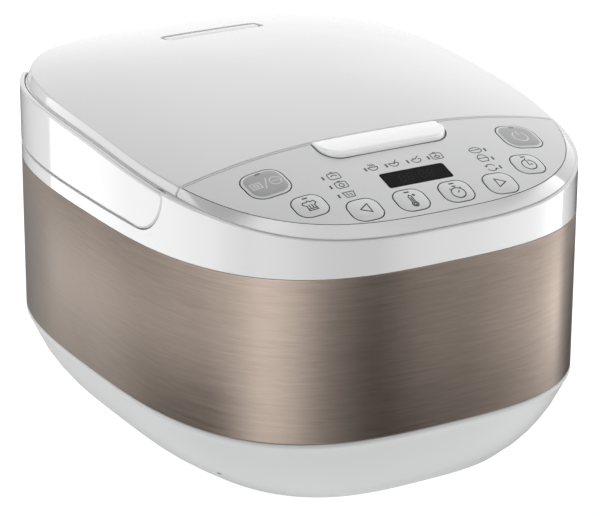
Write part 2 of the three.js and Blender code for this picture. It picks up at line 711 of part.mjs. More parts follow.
// Control board: follows the keys' slope, a little under their lowest point of travel.
function makeControlBoard() {
  const depth = -KEY_DEPTH - BUTTON_TRAVEL_ROOM - 1.4;
  const shape = new THREE.Shape();
  shape.moveTo(-74, 24);
  shape.lineTo(-74, -2);
  shape.lineTo(-50, -22);
  shape.lineTo(50, -22);
  shape.lineTo(74, -2);
  shape.lineTo(74, 24);
  shape.lineTo(50, 24);
  shape.lineTo(50, 8);
  shape.lineTo(-50, 8);
  shape.lineTo(-50, 24);
  return onSurface(shape, 0, -140.5, depth - 2.2, depth - 0.6);
}

addPart('control_board', makeControlBoard(), circuitGreen);

// ---------------------------------------------------------------- lid release

function makeReleaseButton() {
  const cap = prismUp(releaseOutline(0), RELEASE_BOTTOM_Z, RELEASE_TOP_Z, 8);
  const slope = [[-125, 198], [-113.6, 203.2], [-109, 205.3], [-101, RELEASE_TOP_Z], [-90, RELEASE_TOP_Z]];
  const crown = prismAlongX([...slope, [-90, 180], [-125, 180]], -60, 60);
  const post = box(-5, 5, -115 + 0.5, -110.5, 185, RELEASE_BOTTOM_Z + 0.5);
  return union(cap.intersect(crown), post.intersect(box(-5, 5, -112.6, -110.5, 180, 200)));
}

addPart('release_button', makeReleaseButton(), whitePlastic);
for (const [name, side] of SIDES) {
  const spring = coil(4.2, 0.6, SHELF_TOP_Z + GAP, RELEASE_BOTTOM_Z - GAP, 4, side * 28, -104);
  addPart(`release_spring_${name}`, spring, steel);
}

function makeLatchHook() {
  const arm = [
    [HOOK_PIVOT_Y - 2.5, 176], [HOOK_PIVOT_Y + 3, 176], [-95.5, 188.6], [-92.7, 189], [-92.7, 191.6],
    [-96.5, 192.6], [-100.6, 192.6],
  ];
  const tail = [
    [HOOK_PIVOT_Y, 171.6], [-114, 181], [-114, 184.6], [-110, 184.6], [HOOK_PIVOT_Y - 2.6, 180.4],
  ];
  const body = union(
    prismAlongX(arm, -7, 7),
    prismAlongX(tail, -7, 7),
    crosswise(4.6, -7, 7, HOOK_PIVOT_Y, HOOK_PIVOT_Z),
  );
  return body.subtract(crosswise(2.1, -16, 16, HOOK_PIVOT_Y, HOOK_PIVOT_Z, 16));
}

addPart('latch_hook', makeLatchHook(), darkPlastic);
addPart('latch_pin', crosswise(1.9, -13.5, 13.5, HOOK_PIVOT_Y, HOOK_PIVOT_Z, 16), steel);

// ---------------------------------------------------------------- lid

const VENT_SLOT = roundedRectangle(72, 15.5, 6);
const VENT_CAP = roundedRectangle(67, 9.6, 4.4);

function makeLidCover() {
  const front = PARTING_Y + PARTING_GAP;
  const keep = box(-200, 200, front, 200, 100, 260);
  const hollow = topSolid(TOP_WALL, HOLLOW_RINGS).intersect(box(-200, 200, front + 2.4, 200, 100, 260));
  let lid = topSolid(0).intersect(keep).subtract(hollow);
  const knuckleZone = box(-KNUCKLE_HALF, KNUCKLE_HALF, HINGE_Y - 7, HINGE_Y + 7, HINGE_Z, 215);
  const block = knuckleZone.intersect(topSolid(1));
  lid = lid.subtract(belowSeam(0));
  lid = union(lid, block, crosswise(KNUCKLE_RADIUS, -KNUCKLE_HALF, KNUCKLE_HALF, HINGE_Y, HINGE_Z));
  lid = lid.subtract(crosswise(3.3, -80, 80, HINGE_Y, HINGE_Z));
  lid = lid.subtract(onSurface(VENT_SLOT, 0, VENT_Y, -8, 8));
  return lid.subtract(box(-12.6, 12.6, front - 1, front + 2.8, 150, 197.3));
}

addPart('lid_cover', makeLidCover(), whitePlastic);
addPart('hinge_pin', crosswise(3, -EAR_OUTER_X, EAR_OUTER_X, HINGE_Y, HINGE_Z), steel);
for (const [name, side] of SIDES) {
  const inner = Math.min(side * (KNUCKLE_HALF + 0.6), side * (EAR_INNER_X - 0.6));
  const outer = Math.max(side * (KNUCKLE_HALF + 0.6), side * (EAR_INNER_X - 0.6));
  addPart(`hinge_spring_${name}`, torsionCoil(5, 0.8, inner, outer, 4, HINGE_Y, HINGE_Z), steel);
}

addPart('lid_striker', cut(
  box(-12, 12, PARTING_Y + 0.8, PARTING_Y + 2.6, 184, 197),
  box(-8.5, 8.5, PARTING_Y, PARTING_Y + 4, 188, 195),
), steel);

const LID_LINER_LOW = 190.3;

function makeLidLiner() {
  const zone = box(-200, 200, PARTING_Y + 3.2, 146, 150, 260);
  const plate = outlineBlock(9, LID_LINER_LOW, LID_LINER_LOW + 2.6).intersect(zone);
  const rimOuter = outlineBlock(13, LID_LINER_LOW, LID_LINER_LOW + 5);
  const rim = rimOuter.subtract(outlineBlock(15.5, 150, 260)).intersect(zone);
  return cut(union(plate, rim).intersect(topSolid(TOP_WALL + 0.5)), upright(10, 150, 260, 0, VENT_Y));
}

addPart('lid_liner', makeLidLiner(), greyPlastic);
addPart('inner_lid_plate', cut(
  upright(113.5, LID_LINER_LOW - 1.8, LID_LINER_LOW - GAP, 0, POT_Y, RING_STEPS),
  upright(10, 150, 260, 0, VENT_Y),
), aluminium);
addPart('lid_gasket', turned([
  [105.5, POT_RIM_Z + GAP], [111, POT_RIM_Z + GAP], [113, 186.6], [113, LID_LINER_LOW - 2.1],
  [107, LID_LINER_LOW - 2.1], [107, 186.4],
], 0, POT_Y, RING_STEPS), silicone);

function makeValveBody() {
  const chamber = prismUp(roundedRectangle(62, 22, 6), LID_LINER_LOW + 8, 212);
  const hollow = prismUp(roundedRectangle(58, 18, 5), LID_LINER_LOW + 10, 220);
  const shift = (solid) => solid.translate([0, VENT_Y, 0]);
  const neck = upright(9.4, LID_LINER_LOW - 2.4, LID_LINER_LOW + 9, 0, VENT_Y);
  const bore = upright(6.4, 150, 230, 0, VENT_Y);
  return cut(union(shift(chamber), neck), shift(hollow), bore);
}

addPart('steam_valve_body', makeValveBody(), greyPlastic);
addPart('steam_valve_cap', cut(
  turned([[0, 181.5], [12, 181.5], [16, 183], [16, 187], [0, 187]], 0, VENT_Y, 24),
  upright(5, 184, 190, 0, VENT_Y),
), greyPlastic);
addPart('steam_vent_cap', onSurface(VENT_CAP, 0, VENT_Y, -3.4, -0.4), whitePlastic);
const thermistorProfile = [[0, 183.4], [4, 183.4], [6, 185], [6, 188.2], [0, 188.2]];
addPart('lid_thermistor', turned(thermistorProfile, 0, POT_Y, 16), aluminium);

export default cooker;
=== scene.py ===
"""Rice cooker: the visible pieces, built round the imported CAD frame.

Lengths inside the shape functions are millimetres in the CAD frame (front towards -Y, +Z up);
build_mesh turns them into metres. Every outer skin is a patch of one of two surfaces: the top
skin (dome and skirt) and the side wall, so that neighbouring pieces meet in even gaps.
"""

import json
import math

import bmesh
import bpy
import numpy as np
from mathutils import Matrix, Vector
from mathutils.geometry import delaunay_2d_cdt


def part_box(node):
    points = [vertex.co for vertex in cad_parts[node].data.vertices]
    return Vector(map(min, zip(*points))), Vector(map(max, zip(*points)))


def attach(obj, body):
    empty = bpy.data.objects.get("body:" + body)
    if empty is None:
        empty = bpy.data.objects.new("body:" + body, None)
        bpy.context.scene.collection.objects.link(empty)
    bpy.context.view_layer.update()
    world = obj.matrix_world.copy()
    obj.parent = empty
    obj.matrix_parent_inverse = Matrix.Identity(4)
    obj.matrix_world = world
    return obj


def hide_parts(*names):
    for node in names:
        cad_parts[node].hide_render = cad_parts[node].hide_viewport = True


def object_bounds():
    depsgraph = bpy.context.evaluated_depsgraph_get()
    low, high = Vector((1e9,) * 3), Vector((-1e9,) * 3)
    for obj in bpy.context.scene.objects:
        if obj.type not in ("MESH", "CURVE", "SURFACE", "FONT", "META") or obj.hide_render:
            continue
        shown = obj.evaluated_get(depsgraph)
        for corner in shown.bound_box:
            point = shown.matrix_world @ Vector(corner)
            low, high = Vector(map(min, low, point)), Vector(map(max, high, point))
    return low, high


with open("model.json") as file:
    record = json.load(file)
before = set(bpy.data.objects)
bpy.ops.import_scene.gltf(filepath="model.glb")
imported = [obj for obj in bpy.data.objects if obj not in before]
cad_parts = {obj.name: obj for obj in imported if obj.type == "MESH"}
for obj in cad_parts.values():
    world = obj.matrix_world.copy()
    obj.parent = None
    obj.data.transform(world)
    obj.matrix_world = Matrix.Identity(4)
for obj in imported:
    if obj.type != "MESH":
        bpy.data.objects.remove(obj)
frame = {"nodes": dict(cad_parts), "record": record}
cad_low, cad_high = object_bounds()


# ------------------------------------------------------------------ sizes from the frame

def low(node):
    return [v * 1000 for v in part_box(node)[0]]


def high(node):
    return [v * 1000 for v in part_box(node)[1]]


def middle(node):
    return [(a + b) / 2 for a, b in zip(low(node), high(node))]


HALF_WIDTH = (cad_high.x - cad_low.x) * 500       # metres to millimetres, halved
HALF_DEPTH = (cad_high.y - cad_low.y) * 500
POWER = 3.03                      # superellipse exponent of the plan outline
BAND_LOW = low("outer_shell")[2]
BAND_HIGH = high("outer_shell")[2]
HOUSING_LOW = BAND_HIGH + 0.12
SEAM_LINE = (197.7, 0.064, -0.00046)   # level, slope and bow of the seam at the skirt's foot
EDGE_LINE = (202.4, 0.071, -0.00032)   # the same for the crease between dome and skirt
SKIRT_INSET = 4.2                 # how far in the skirt's foot stands, along the lid
FRONT_SKIRT_INSET = 1.8           # and round the front
FRONT_START = -88.0               # where it starts to come out
FRONT_RUN = 45.0                  # length over which it does
FRONT_RISE = 1.4                  # how much higher the seam lies round the front
EDGE_INSET = 6.6                  # how far in the crease between dome and skirt stands
CROWN = 18.5                      # height of the dome above that crease
EDGE_ROUND = 0.35                 # half width of the rounding between dome and skirt
SKIRT_BULGE = 0.12
PARTING_Y = -93.0                 # the straight gap between lid and panel
PARTING_HALF = 0.4                # half its width
PARTING_WALL = 2.4                # thickness of the upright walls along it
SHELL_THICK = 2.8                 # thickness of the lid and the panel
HANDLE_THICK = 3.0
HANDLE_LOW = 162.4                # height of the handle's lower edge
HANDLE_REAR_TOP = 176.6           # height of its upper edge at the back
HANDLE_PIVOT = (-62.0, 186.2)     # (y, z) of the pins it turns on
HANDLE_RADIUS = 24.6              # its round front end
HANDLE_JOINT_Y = HANDLE_PIVOT[0] + 12  # where that end runs into the straight lower edge
_, HINGE_Y, HINGE_Z = middle("hinge_pin")
POT_Y = middle("inner_pot")[1]


def smoothstep(t):
    t = np.clip(t, 0, 1)
    return t * t * (3 - 2 * t)


def front_share(y):
    """0 along the lid, 1 where the skirt of the panel stands fully out."""
    return smoothstep((FRONT_START - y) / FRONT_RUN)


def skirt_inset(y):
    return SKIRT_INSET - (SKIRT_INSET - FRONT_SKIRT_INSET) * front_share(y)


def bowed(line, y):
    level, slope, bow = line
    return level + slope * y + bow * y * y


def seam_height(y):
    return bowed(SEAM_LINE, y) + FRONT_RISE * front_share(y)


def edge_height(y):
    return bowed(EDGE_LINE, y)


# ------------------------------------------------------------------ the two surfaces

def reach(x, y, inset):
    """How far out a plan point lies, as a share of the outline at that inset."""
    across = (np.abs(x) / (HALF_WIDTH - inset)) ** POWER
    along = (np.abs(y) / (HALF_DEPTH - inset)) ** POWER
    return (across + along) ** (1 / POWER)


def outline(inset, angles):
    """Points of the plan outline, moved in by the inset, at the given angles about the middle."""
    c, s = np.cos(angles), np.sin(angles)
    return np.stack([c, s], 1) / reach(c, s, inset)[:, None]


def dome(x, y):
    """Height of the top inside the crease."""
    rho = np.minimum(reach(x, y, EDGE_INSET), 1)
    return edge_height(y) + CROWN * (1 - rho * rho)


def top_skin(q):
    """The dome, and past its edge the skirt down to the seam.

    Up to the edge q is the plan point; past it, the excess length of q runs down the skirt."""
    q = np.asarray(q, float)
    length = np.maximum(np.hypot(q[:, 0], q[:, 1]), 1e-6)
    ray = q / length[:, None]
    edge_reach = 1 / reach(ray[:, 0], ray[:, 1], EDGE_INSET)
    seam_reach = 1 / reach(ray[:, 0], ray[:, 1], skirt_inset(ray[:, 1] * edge_reach))
    run = length - edge_reach
    edge = np.column_stack([ray * edge_reach[:, None], edge_height(ray[:, 1] * edge_reach)])
    seam = np.column_stack([ray * seam_reach[:, None], seam_height(ray[:, 1] * seam_reach)])
    drop = seam - edge
    size = np.linalg.norm(drop, axis=1)
    outward = np.column_stack([-drop[:, 2:3] * ray, np.hypot(drop[:, 0], drop[:, 1])]) / size[:, None]

    def skirt(distance):
        t = distance / size
        bulge = SKIRT_BULGE * 4 * t * (1 - t)
        return edge + drop * t[:, None] + outward * bulge[:, None]

    flat = np.column_stack([q, dome(q[:, 0], q[:, 1])])
    inner = ray * (edge_reach - EDGE_ROUND)[:, None]
    before = np.column_stack([inner, dome(inner[:, 0], inner[:, 1])])
    after = skirt(np.full(len(q), EDGE_ROUND))
    u = np.clip((run + EDGE_ROUND) / (2 * EDGE_ROUND), 0, 1)[:, None]
    rounded = (1 - u) ** 2 * before + 2 * u * (1 - u) * edge + u * u * after
    far = skirt(run)
    run = run[:, None]
    return np.where(run <= -EDGE_ROUND, flat, np.where(run >= EDGE_ROUND, far, rounded))


def skirt_length(angles):
    """Length of the skirt from edge to seam along each ray."""
    edge = outline(EDGE_INSET, angles)
    seam = outline(skirt_inset(edge[:, 1]), angles)
    rise = edge_height(edge[:, 1]) - seam_height(seam[:, 1])
    return np.sqrt(((seam - edge) ** 2).sum(1) + rise ** 2)


WALL_TABLE = outline(0, np.linspace(math.pi / 2, math.pi * 2.5, 6001))
WALL_RUN = np.concatenate([[0], np.cumsum(np.hypot(*np.diff(WALL_TABLE, axis=0).T))])
GIRTH = WALL_RUN[-1]


def side_wall(q):
    """The upright wall: q is (length round the outline from the middle of the back, height)."""
    q = np.asarray(q, float)
    run = np.mod(q[:, 0], GIRTH)
    x = np.interp(run, WALL_RUN, WALL_TABLE[:, 0])
    y = np.interp(run, WALL_RUN, WALL_TABLE[:, 1])
    return np.column_stack([x, y, q[:, 1]])


def wall_normals(q):
    """Outward directions of the side wall."""
    p = side_wall(q)
    n = np.column_stack([
        np.sign(p[:, 0]) * np.abs(p[:, 0] / HALF_WIDTH) ** (POWER - 1) / HALF_WIDTH,
        np.sign(p[:, 1]) * np.abs(p[:, 1] / HALF_DEPTH) ** (POWER - 1) / HALF_DEPTH,
        np.zeros(len(p)),
    ])
    return n / np.linalg.norm(n, axis=1)[:, None]


def skin_normals(q):
    """Upward directions of the top skin, from small steps over it."""
    q = np.asarray(q, float)
    step = 0.04
    ahead = np.array([step, 0.0])
    beside = np.array([0.0, step])
    a = top_skin(q + ahead) - top_skin(q - ahead)
    b = top_skin(q + beside) - top_skin(q - beside)
    n = np.cross(a, b)
    n = n / np.linalg.norm(n, axis=1)[:, None]
    return n * np.where(n[:, 2:3] < 0, -1, 1)


TOP = (top_skin, skin_normals)
WALL = (side_wall, wall_normals)  # each surface as its place and normal functions


# ------------------------------------------------------------------ plane loops

def resample(points, step):
    """A closed loop redrawn in even steps, with its sharp corners kept."""
    points = np.asarray(points, float)
    points = points[np.hypot(*(points - np.roll(points, 1, axis=0)).T) > 1e-6]
    before = points - np.roll(points, 1, axis=0)
    after = np.roll(points, -1, axis=0) - points
    turn = np.arctan2(before[:, 0] * after[:, 1] - before[:, 1] * after[:, 0], (before * after).sum(1))
    corners = np.flatnonzero(np.abs(turn) > math.radians(40))
    if len(corners) == 0:
        corners = np.array([0])
    points = np.roll(points, -corners[0], axis=0)
    stops = list(corners - corners[0]) + [len(points)]
    points = np.vstack([points, points[:1]])
    result = []
    for first, last in zip(stops, stops[1:]):
        stretch = points[first:last + 1]
        run = np.concatenate([[0], np.cumsum(np.hypot(*np.diff(stretch, axis=0).T))])
        count = max(int(round(run[-1] / step)), 1 if len(corners) > 1 else 3)
        at = np.linspace(0, run[-1], count + 1)[:-1]
        result.append(np.column_stack([np.interp(at, run, stretch[:, 0]), np.interp(at, run, stretch[:, 1])]))
    return np.vstack(result)


def inside(points, loop):
    """Whether each point lies inside a closed loop."""
    x, y = points[:, 0][:, None], points[:, 1][:, None]
    a, b = loop, np.roll(loop, -1, axis=0)
    crosses = (a[:, 1] > y) != (b[:, 1] > y)
    rise = np.where(b[:, 1] == a[:, 1], 1e-12, b[:, 1] - a[:, 1])
    at = (b[:, 0] - a[:, 0]) * (y - a[:, 1]) / rise + a[:, 0]
    return (crosses & (x < at)).sum(1) % 2 == 1


def distance(points, starts, ends):
    """Distance of each point to the nearest of the given segments."""
    best = np.full(len(points), 1e9)
    along = ends - starts
    square = np.maximum((along ** 2).sum(1), 1e-12)
    for i in range(0, len(points), 2000):
        p = points[i:i + 2000, None, :]
        t = np.clip(((p - starts) * along).sum(2) / square, 0, 1)
        near = starts + t[..., None] * along
        best[i:i + 2000] = np.sqrt(((p - near) ** 2).sum(2)).min(1)
    return best


def loop_area(loop):
    following = np.roll(loop, -1, axis=0)
    return 0.5 * (loop[:, 0] * following[:, 1] - following[:, 0] * loop[:, 1]).sum()


def rounded_loop(half_x, half_y, radius, arc_points=8):
    """A rounded rectangle about the origin, anticlockwise."""
    points = []
    for corner, (sx, sy) in enumerate([(1, 1), (-1, 1), (-1, -1), (1, -1)]):
        for a in np.linspace(corner * math.pi / 2, (corner + 1) * math.pi / 2, arc_points):
            points.append([sx * (half_x - radius) + radius * math.cos(a),
                           sy * (half_y - radius) + radius * math.sin(a)])
    return np.array(points)


# ------------------------------------------------------------------ meshes

SHARP = math.radians(35)          # edges that bend more than this stay sharp


def build_mesh(name, points, faces, materials, face_slots=None, sharp=SHARP):
    """An object from points in millimetres; face_slots says which material each face has."""
    mesh = bpy.data.meshes.new(name)
    mesh.from_pydata((np.asarray(points) / 1000).tolist(), [], faces)
    for material in materials:
        mesh.materials.append(material)
    if face_slots is not None:
        mesh.polygons.foreach_set("material_index", face_slots)
    mesh.validate()
    mesh.shade_smooth()
    mesh.set_sharp_from_angle(angle=sharp)
    obj = bpy.data.objects.new(name, mesh)
    bpy.context.collection.objects.link(obj)
    return obj


LIP_ARC = (30, 60, 90)            # degrees round a lip at which it gets a ring of points
HOLD = 1.35                       # a ring this far in, in lips, keeps the face flat up to its rim
DEEP_STEP = 1.5                   # a step deeper than this gets the shade of a gap


def corner_normals(rims, starts, ends, shared):
    """Outward directions at the corners of the rims; level where a ring closes on itself."""
    outward = ends - starts
    outward = np.column_stack([outward[:, 1], -outward[:, 0]]) / np.hypot(*outward.T)[:, None]
    by_rim = np.split(outward, np.cumsum([len(rim) for rim in rims])[:-1])
    normal = outward + np.vstack([np.roll(part, 1, axis=0) for part in by_rim])
    normal[shared, 0] = 0
    normal /= np.maximum(np.hypot(*normal.T), 1e-6)[:, None]
    return normal


def grid_over(points, spacing):
    """Even rows and columns of points over the box of the given ones."""
    first, last = points.min(0), points.max(0)
    columns = max(int((last[0] - first[0]) / spacing[0]), 1)
    rows = max(int((last[1] - first[1]) / spacing[1]), 1)
    grid_x, grid_y = np.meshgrid(np.linspace(first[0], last[0], columns + 1),
                                 np.linspace(first[1], last[1], rows + 1))
    return np.column_stack([grid_x.ravel(), grid_y.ravel()])


def to_loop(points, loop):
    return distance(points, loop, np.roll(loop, -1, axis=0))


def triangulate(flat, loops, within):
    """Triangles over plane points, which start with the loops, kept where within() holds."""
    edges = []
    first = 0
    for loop in loops:
        count = len(loop)
        edges += [(first + i, first + (i + 1) % count) for i in range(count)]
        first += count
    result = delaunay_2d_cdt([Vector(p) for p in flat], edges, [], 0, 1e-5)
    flat = np.array([tuple(v) for v in result[0]])
    faces = np.array([f[:3] for f in result[2]])
    faces = faces[within(flat[faces].mean(1))]
    a, b, c = (flat[faces[:, k]] for k in range(3))
    turn = (b[:, 0] - a[:, 0]) * (c[:, 1] - a[:, 1]) - (b[:, 1] - a[:, 1]) * (c[:, 0] - a[:, 0])
    faces[turn < 0] = faces[turn < 0][:, ::-1]
    return flat, faces[np.abs(turn) > 1e-9]


def lone_edges(faces):
    """The edges that only one face has, in order."""
    sides = {}
    for face in faces:
        for i in range(3):
            edge = (face[i], face[(i + 1) % 3])
            if edge[::-1] in sides:
                sides.pop(edge[::-1])
            else:
                sides[edge] = True
    return list(sides)


def patch(name, surface, loops, materials, spacing=(4, 4), lip=0.5, thickness=2.5, depth=None,
          creases=(), guides=None, edge_step=1.6, open_at=None, back_depth=None, plain_rim=False,
          rim_points=()):
    """A plate that follows a surface inside the first loop and outside the others.

    depth is the inward offset of its face, lip the rounding of its rims. Crease loops hold the
    foot and the brow of a step in depth. Guides are extra points, for bends in the surface.
    open_at names rims that meet each other, where a ring closes on itself, with rim_points more
    points along them. A plain rim has the face's own finish, except where the face is set back."""
    place, normals = surface
    rims = []
    for number, loop in enumerate(loops):
        loop = resample(loop, edge_step)
        if (loop_area(loop) > 0) != (number == 0):
            loop = loop[::-1]
        rims.append(loop)
    starts = np.vstack(rims)
    ends = np.vstack([np.roll(loop, -1, axis=0) for loop in rims])
    shared = np.zeros(len(starts), bool)
    free = ~shared
    if open_at is not None:
        shared = open_at(starts)
        free = ~(shared & open_at(ends))

    def within(points):
        ok = inside(points, rims[0])
        for hole in rims[1:]:
            ok &= ~inside(points, hole)
        return ok

    hold = lip * HOLD
    corner_normal = corner_normals(rims, starts, ends, shared)
    rings = []
    for into in [lip * (1 - math.cos(math.radians(degrees))) for degrees in LIP_ARC] + [hold]:
        ring = starts - corner_normal * into
        ring = ring[distance(ring, starts[free], ends[free]) > into * 0.97]
        rings.append(ring[within(ring)])
    inner = grid_over(starts, spacing)
    if guides is not None:
        inner = np.vstack([inner, guides])
    inner = inner[within(inner)]
    inner = inner[distance(inner, starts, ends) > hold + 0.35 * edge_step]
    crease_points = [resample(loop, edge_step) for loop in creases]
    for loop in crease_points:
        inner = inner[to_loop(inner, loop) > 0.3 * edge_step]
        rings = [ring[to_loop(ring, loop) > 0.05] for ring in rings]
    flat = np.vstack([starts, *crease_points, *rings, inner, *rim_points])
    flat, faces = triangulate(flat, rims + crease_points, within)

    normal = normals(flat)
    ground = place(flat)
    offset = np.zeros(len(flat)) if depth is None else depth(flat)
    short = np.clip(lip - distance(flat, starts[free], ends[free]), 0, lip)
    offset = offset + lip - np.sqrt(lip * lip - short * short)
    front = ground - normal * offset[:, None]
    back_offset = np.full(len(flat), thickness) if back_depth is None else back_depth(flat)
    back = ground - normal * back_offset[:, None]
    handed = np.cross(front[faces[:, 1]] - front[faces[:, 0]], front[faces[:, 2]] - front[faces[:, 0]])
    if (handed * normal[faces[:, 0]]).sum() < 0:
        faces = faces[:, ::-1]
    count = len(flat)
    front_faces = faces.tolist()
    back_faces = (faces[:, ::-1] + count).tolist()
    # The last material goes on the back, on rims and on deep steps; on the film and the keys it is painted
    # gap shade.
    back_and_gap_shade_slot = len(materials) - 1
    wall_faces = []
    wall_slots = []
    for a, b in lone_edges(front_faces):
        if open_at is not None and open_at(flat[[a, b]]).all():
            continue
        wall_faces.append([b, a, a + count, b + count])
        wall_slots.append(0 if plain_rim and offset[[a, b]].max() < DEEP_STEP else back_and_gap_shade_slot)
    step_down = np.ptp(offset[faces], axis=1) > DEEP_STEP
    slots = np.where(step_down, back_and_gap_shade_slot, 0).tolist() + [back_and_gap_shade_slot] * len(back_faces) + wall_slots
    obj = build_mesh(name, np.vstack([front, back]), front_faces + back_faces + wall_faces, materials, slots)
    if open_at is not None:
        close_ring(obj)
    return obj


def close_ring(obj):
    """Joins the points that lie on each other where a ring closes on itself."""
    work = bmesh.new()
    work.from_mesh(obj.data)
    bmesh.ops.remove_doubles(work, verts=work.verts, dist=2e-6)
    work.to_mesh(obj.data)
    work.free()


def join_rings(levels, steps, closed=False, capped=False):
    """Faces between rings of points; closed joins the last ring to the first, capped fills both ends."""
    faces = []
    for level in range(levels if closed else levels - 1):
        a = level * steps
        b = ((level + 1) % levels) * steps
        for i in range(steps):
            j = (i + 1) % steps
            faces.append([a + i, a + j, b + j, b + i])
    if capped:
        faces.append(list(range(steps))[::-1])
        faces.append([(levels - 1) * steps + i for i in range(steps)])
    return faces


FULL_INSET = 36                   # inset of the base's flat bottom


def ring_loft(name, profile, materials, steps, closed=True, front_inset=1.0):
    """Rings of the plan outline joined up; the profile lists (inset, height, scale).

    front_inset is the share of the deepest inset taken at the front."""
    angles = np.linspace(0, 2 * math.pi, steps, endpoint=False)
    points = []
    for inset, height, scale in profile:
        ring = outline(inset, angles) * scale
        share = 1 - (1 - front_inset) * min(inset / FULL_INSET, 1)
        stretch = (HALF_DEPTH - inset * share) / (HALF_DEPTH - inset)
        ring[:, 1] *= np.where(ring[:, 1] < 0, stretch, 1)
        points.append(np.column_stack([ring, np.full(steps, height)]))
    faces = join_rings(len(profile), steps, closed=closed, capped=not closed)
    return build_mesh(name, np.vstack(points), faces, materials)


def turned(name, profile, materials, centre, steps):
    """A body of revolution about an upright axis; the [radius, height] profile closes on itself."""
    angles = np.linspace(0, 2 * math.pi, steps, endpoint=False)
    points = []
    rows = []
    for radius, height in profile:
        if radius < 1e-6:
            rows.append([len(points)] * steps)
            points.append([centre[0], centre[1], height])
            continue
        rows.append(list(range(len(points), len(points) + steps)))
        for a in angles:
            points.append([centre[0] + radius * math.cos(a), centre[1] + radius * math.sin(a), height])
    faces = []
    count = len(profile)
    on_axis = profile[0][0] < 1e-6 and profile[-1][0] < 1e-6
    for level in range(count - 1 if on_axis else count):
        lower, upper = rows[level], rows[(level + 1) % count]
        for i in range(steps):
            j = (i + 1) % steps
            face = [lower[i], lower[j], upper[j], upper[i]]
            faces.append(list(dict.fromkeys(face)))
    return build_mesh(name, points, [f for f in faces if len(f) > 2], materials)


def rounded_profile(corners, radius, steps=4):
    """Rounds each corner of a closed [radius, height] profile by the given size."""
    count = len(corners)
    result = []
    for i in range(count):
        here = np.array(corners[i], float)
        before = np.array(corners[i - 1], float)
        after = np.array(corners[(i + 1) % count], float)
        if here[0] < 1e-6:
            result.append(here)
            continue
        to_before = np.linalg.norm(before - here)
        to_after = np.linalg.norm(after - here)
        size = min(radius, to_before * 0.45, to_after * 0.45)
        a = here + (before - here) / to_before * size
        b = here + (after - here) / to_after * size
        for u in np.linspace(0, 1, steps):
            result.append((1 - u) ** 2 * a + 2 * u * (1 - u) * here + u * u * b)
    return [tuple(p) for p in result]


def ribbon(place, normals, strokes, width, rise, height=0.05):
    """Points and faces of thin lines that follow a surface, for print and for a painted gap shade. Strokes
    are plane polylines.
    """
    points, faces = [], []
    for stroke in strokes:
        stroke = np.asarray(stroke, float)
        closed = np.hypot(*(stroke[0] - stroke[-1])) < 1e-6
        if closed:
            stroke = stroke[:-1]
        ahead = np.roll(stroke, -1, axis=0) - stroke
        back = stroke - np.roll(stroke, 1, axis=0)
        if not closed:
            ahead[-1] = back[-1]
            back[0] = ahead[0]
        ahead /= np.hypot(*ahead.T)[:, None]
        back /= np.hypot(*back.T)[:, None]
        along = ahead + back
        along /= np.maximum(np.hypot(*along.T), 1e-6)[:, None]
        across = np.column_stack([-along[:, 1], along[:, 0]])
        spread = width / 2 / np.clip((along * ahead).sum(1), 0.6, 1)
        left, right = stroke + across * spread[:, None], stroke - across * spread[:, None]
        first = len(points)
        count = len(stroke)
        for side in (left, right):
            ground, normal = place(side), normals(side)
            points += (ground + normal * (rise + height)).tolist()
            points += (ground + normal * (rise - 0.02)).tolist()
        rows = [first + k * count for k in (0, 2, 3, 1)]
        spans = range(count) if closed else range(count - 1)
        for i in spans:
            j = (i + 1) % count
            for k in range(4):
                a, b = rows[k], rows[(k + 1) % 4]
                faces.append([a + i, a + j, b + j, b + i])
        if not closed:
            faces.append([row for row in rows])
            faces.append([row + count - 1 for row in rows][::-1])
    return points, faces


# ------------------------------------------------------------------ loops on the top skin

def skirt_point(angle, share):
    """Plane points a share of the way down the skirt at the given angles."""
    angle = np.atleast_1d(angle)
    ray = np.column_stack([np.cos(angle), np.sin(angle)])
    edge_reach = 1 / reach(ray[:, 0], ray[:, 1], EDGE_INSET)
    return ray * (edge_reach + share * skirt_length(angle))[:, None]


def right_front_angle(is_before):
    """The angle from the front to the right at which is_before() stops holding, between two bounds."""
    a, b = -math.pi / 2, 0.0
    for _ in range(40):
        half_way = (a + b) / 2
        if is_before(half_way):
            a = half_way
        else:
            b = half_way
    return a, b


def cut_angle(cut_y, share):
    """Angle on the right, towards the front, where the skirt crosses the plane y = cut_y."""
    a, b = right_front_angle(lambda angle: top_skin(skirt_point(angle, share))[0, 1] < cut_y)
    return (a + b) / 2


def skirt_cut(cut_y, side):
    """Plane points of the line y = cut_y on the skirt, from its edge down to the seam."""
    rows = [skirt_point(cut_angle(cut_y, share), share)[0] for share in np.linspace(0, 1, 8)]
    return [(side * q[0], q[1]) for q in rows]


def seam_arc(first, last, count):
    return [tuple(q) for q in skirt_point(np.linspace(first, last, count), 1.0)]


LID_FRONT_Y = PARTING_Y + PARTING_HALF
PANEL_REAR_Y = PARTING_Y - PARTING_HALF
RELEASE_HALF = 42.5
RELEASE_FRONT = -113.0
RELEASE_CORNER = 12.0


def release_notch(margin, rear):
    """The release button's outline from its rear right corner round the front to the rear left."""
    half = RELEASE_HALF + margin
    front = RELEASE_FRONT - margin
    radius = RELEASE_CORNER + margin
    points = [(half, rear)]
    for a in np.linspace(0, -math.pi / 2, 10):
        points.append((half - radius + radius * math.cos(a), front + radius + radius * math.sin(a)))
    for a in np.linspace(-math.pi / 2, -math.pi, 10):
        points.append((-half + radius + radius * math.cos(a), front + radius + radius * math.sin(a)))
    points.append((-half, rear))
    return points


def lid_loop():
    start = cut_angle(LID_FRONT_Y, 1.0)
    around = seam_arc(start, math.pi - start, 500)
    left = skirt_cut(LID_FRONT_Y, -1)[::-1]
    right = skirt_cut(LID_FRONT_Y, 1)
    return np.array(around + left[1:] + right[:-1])


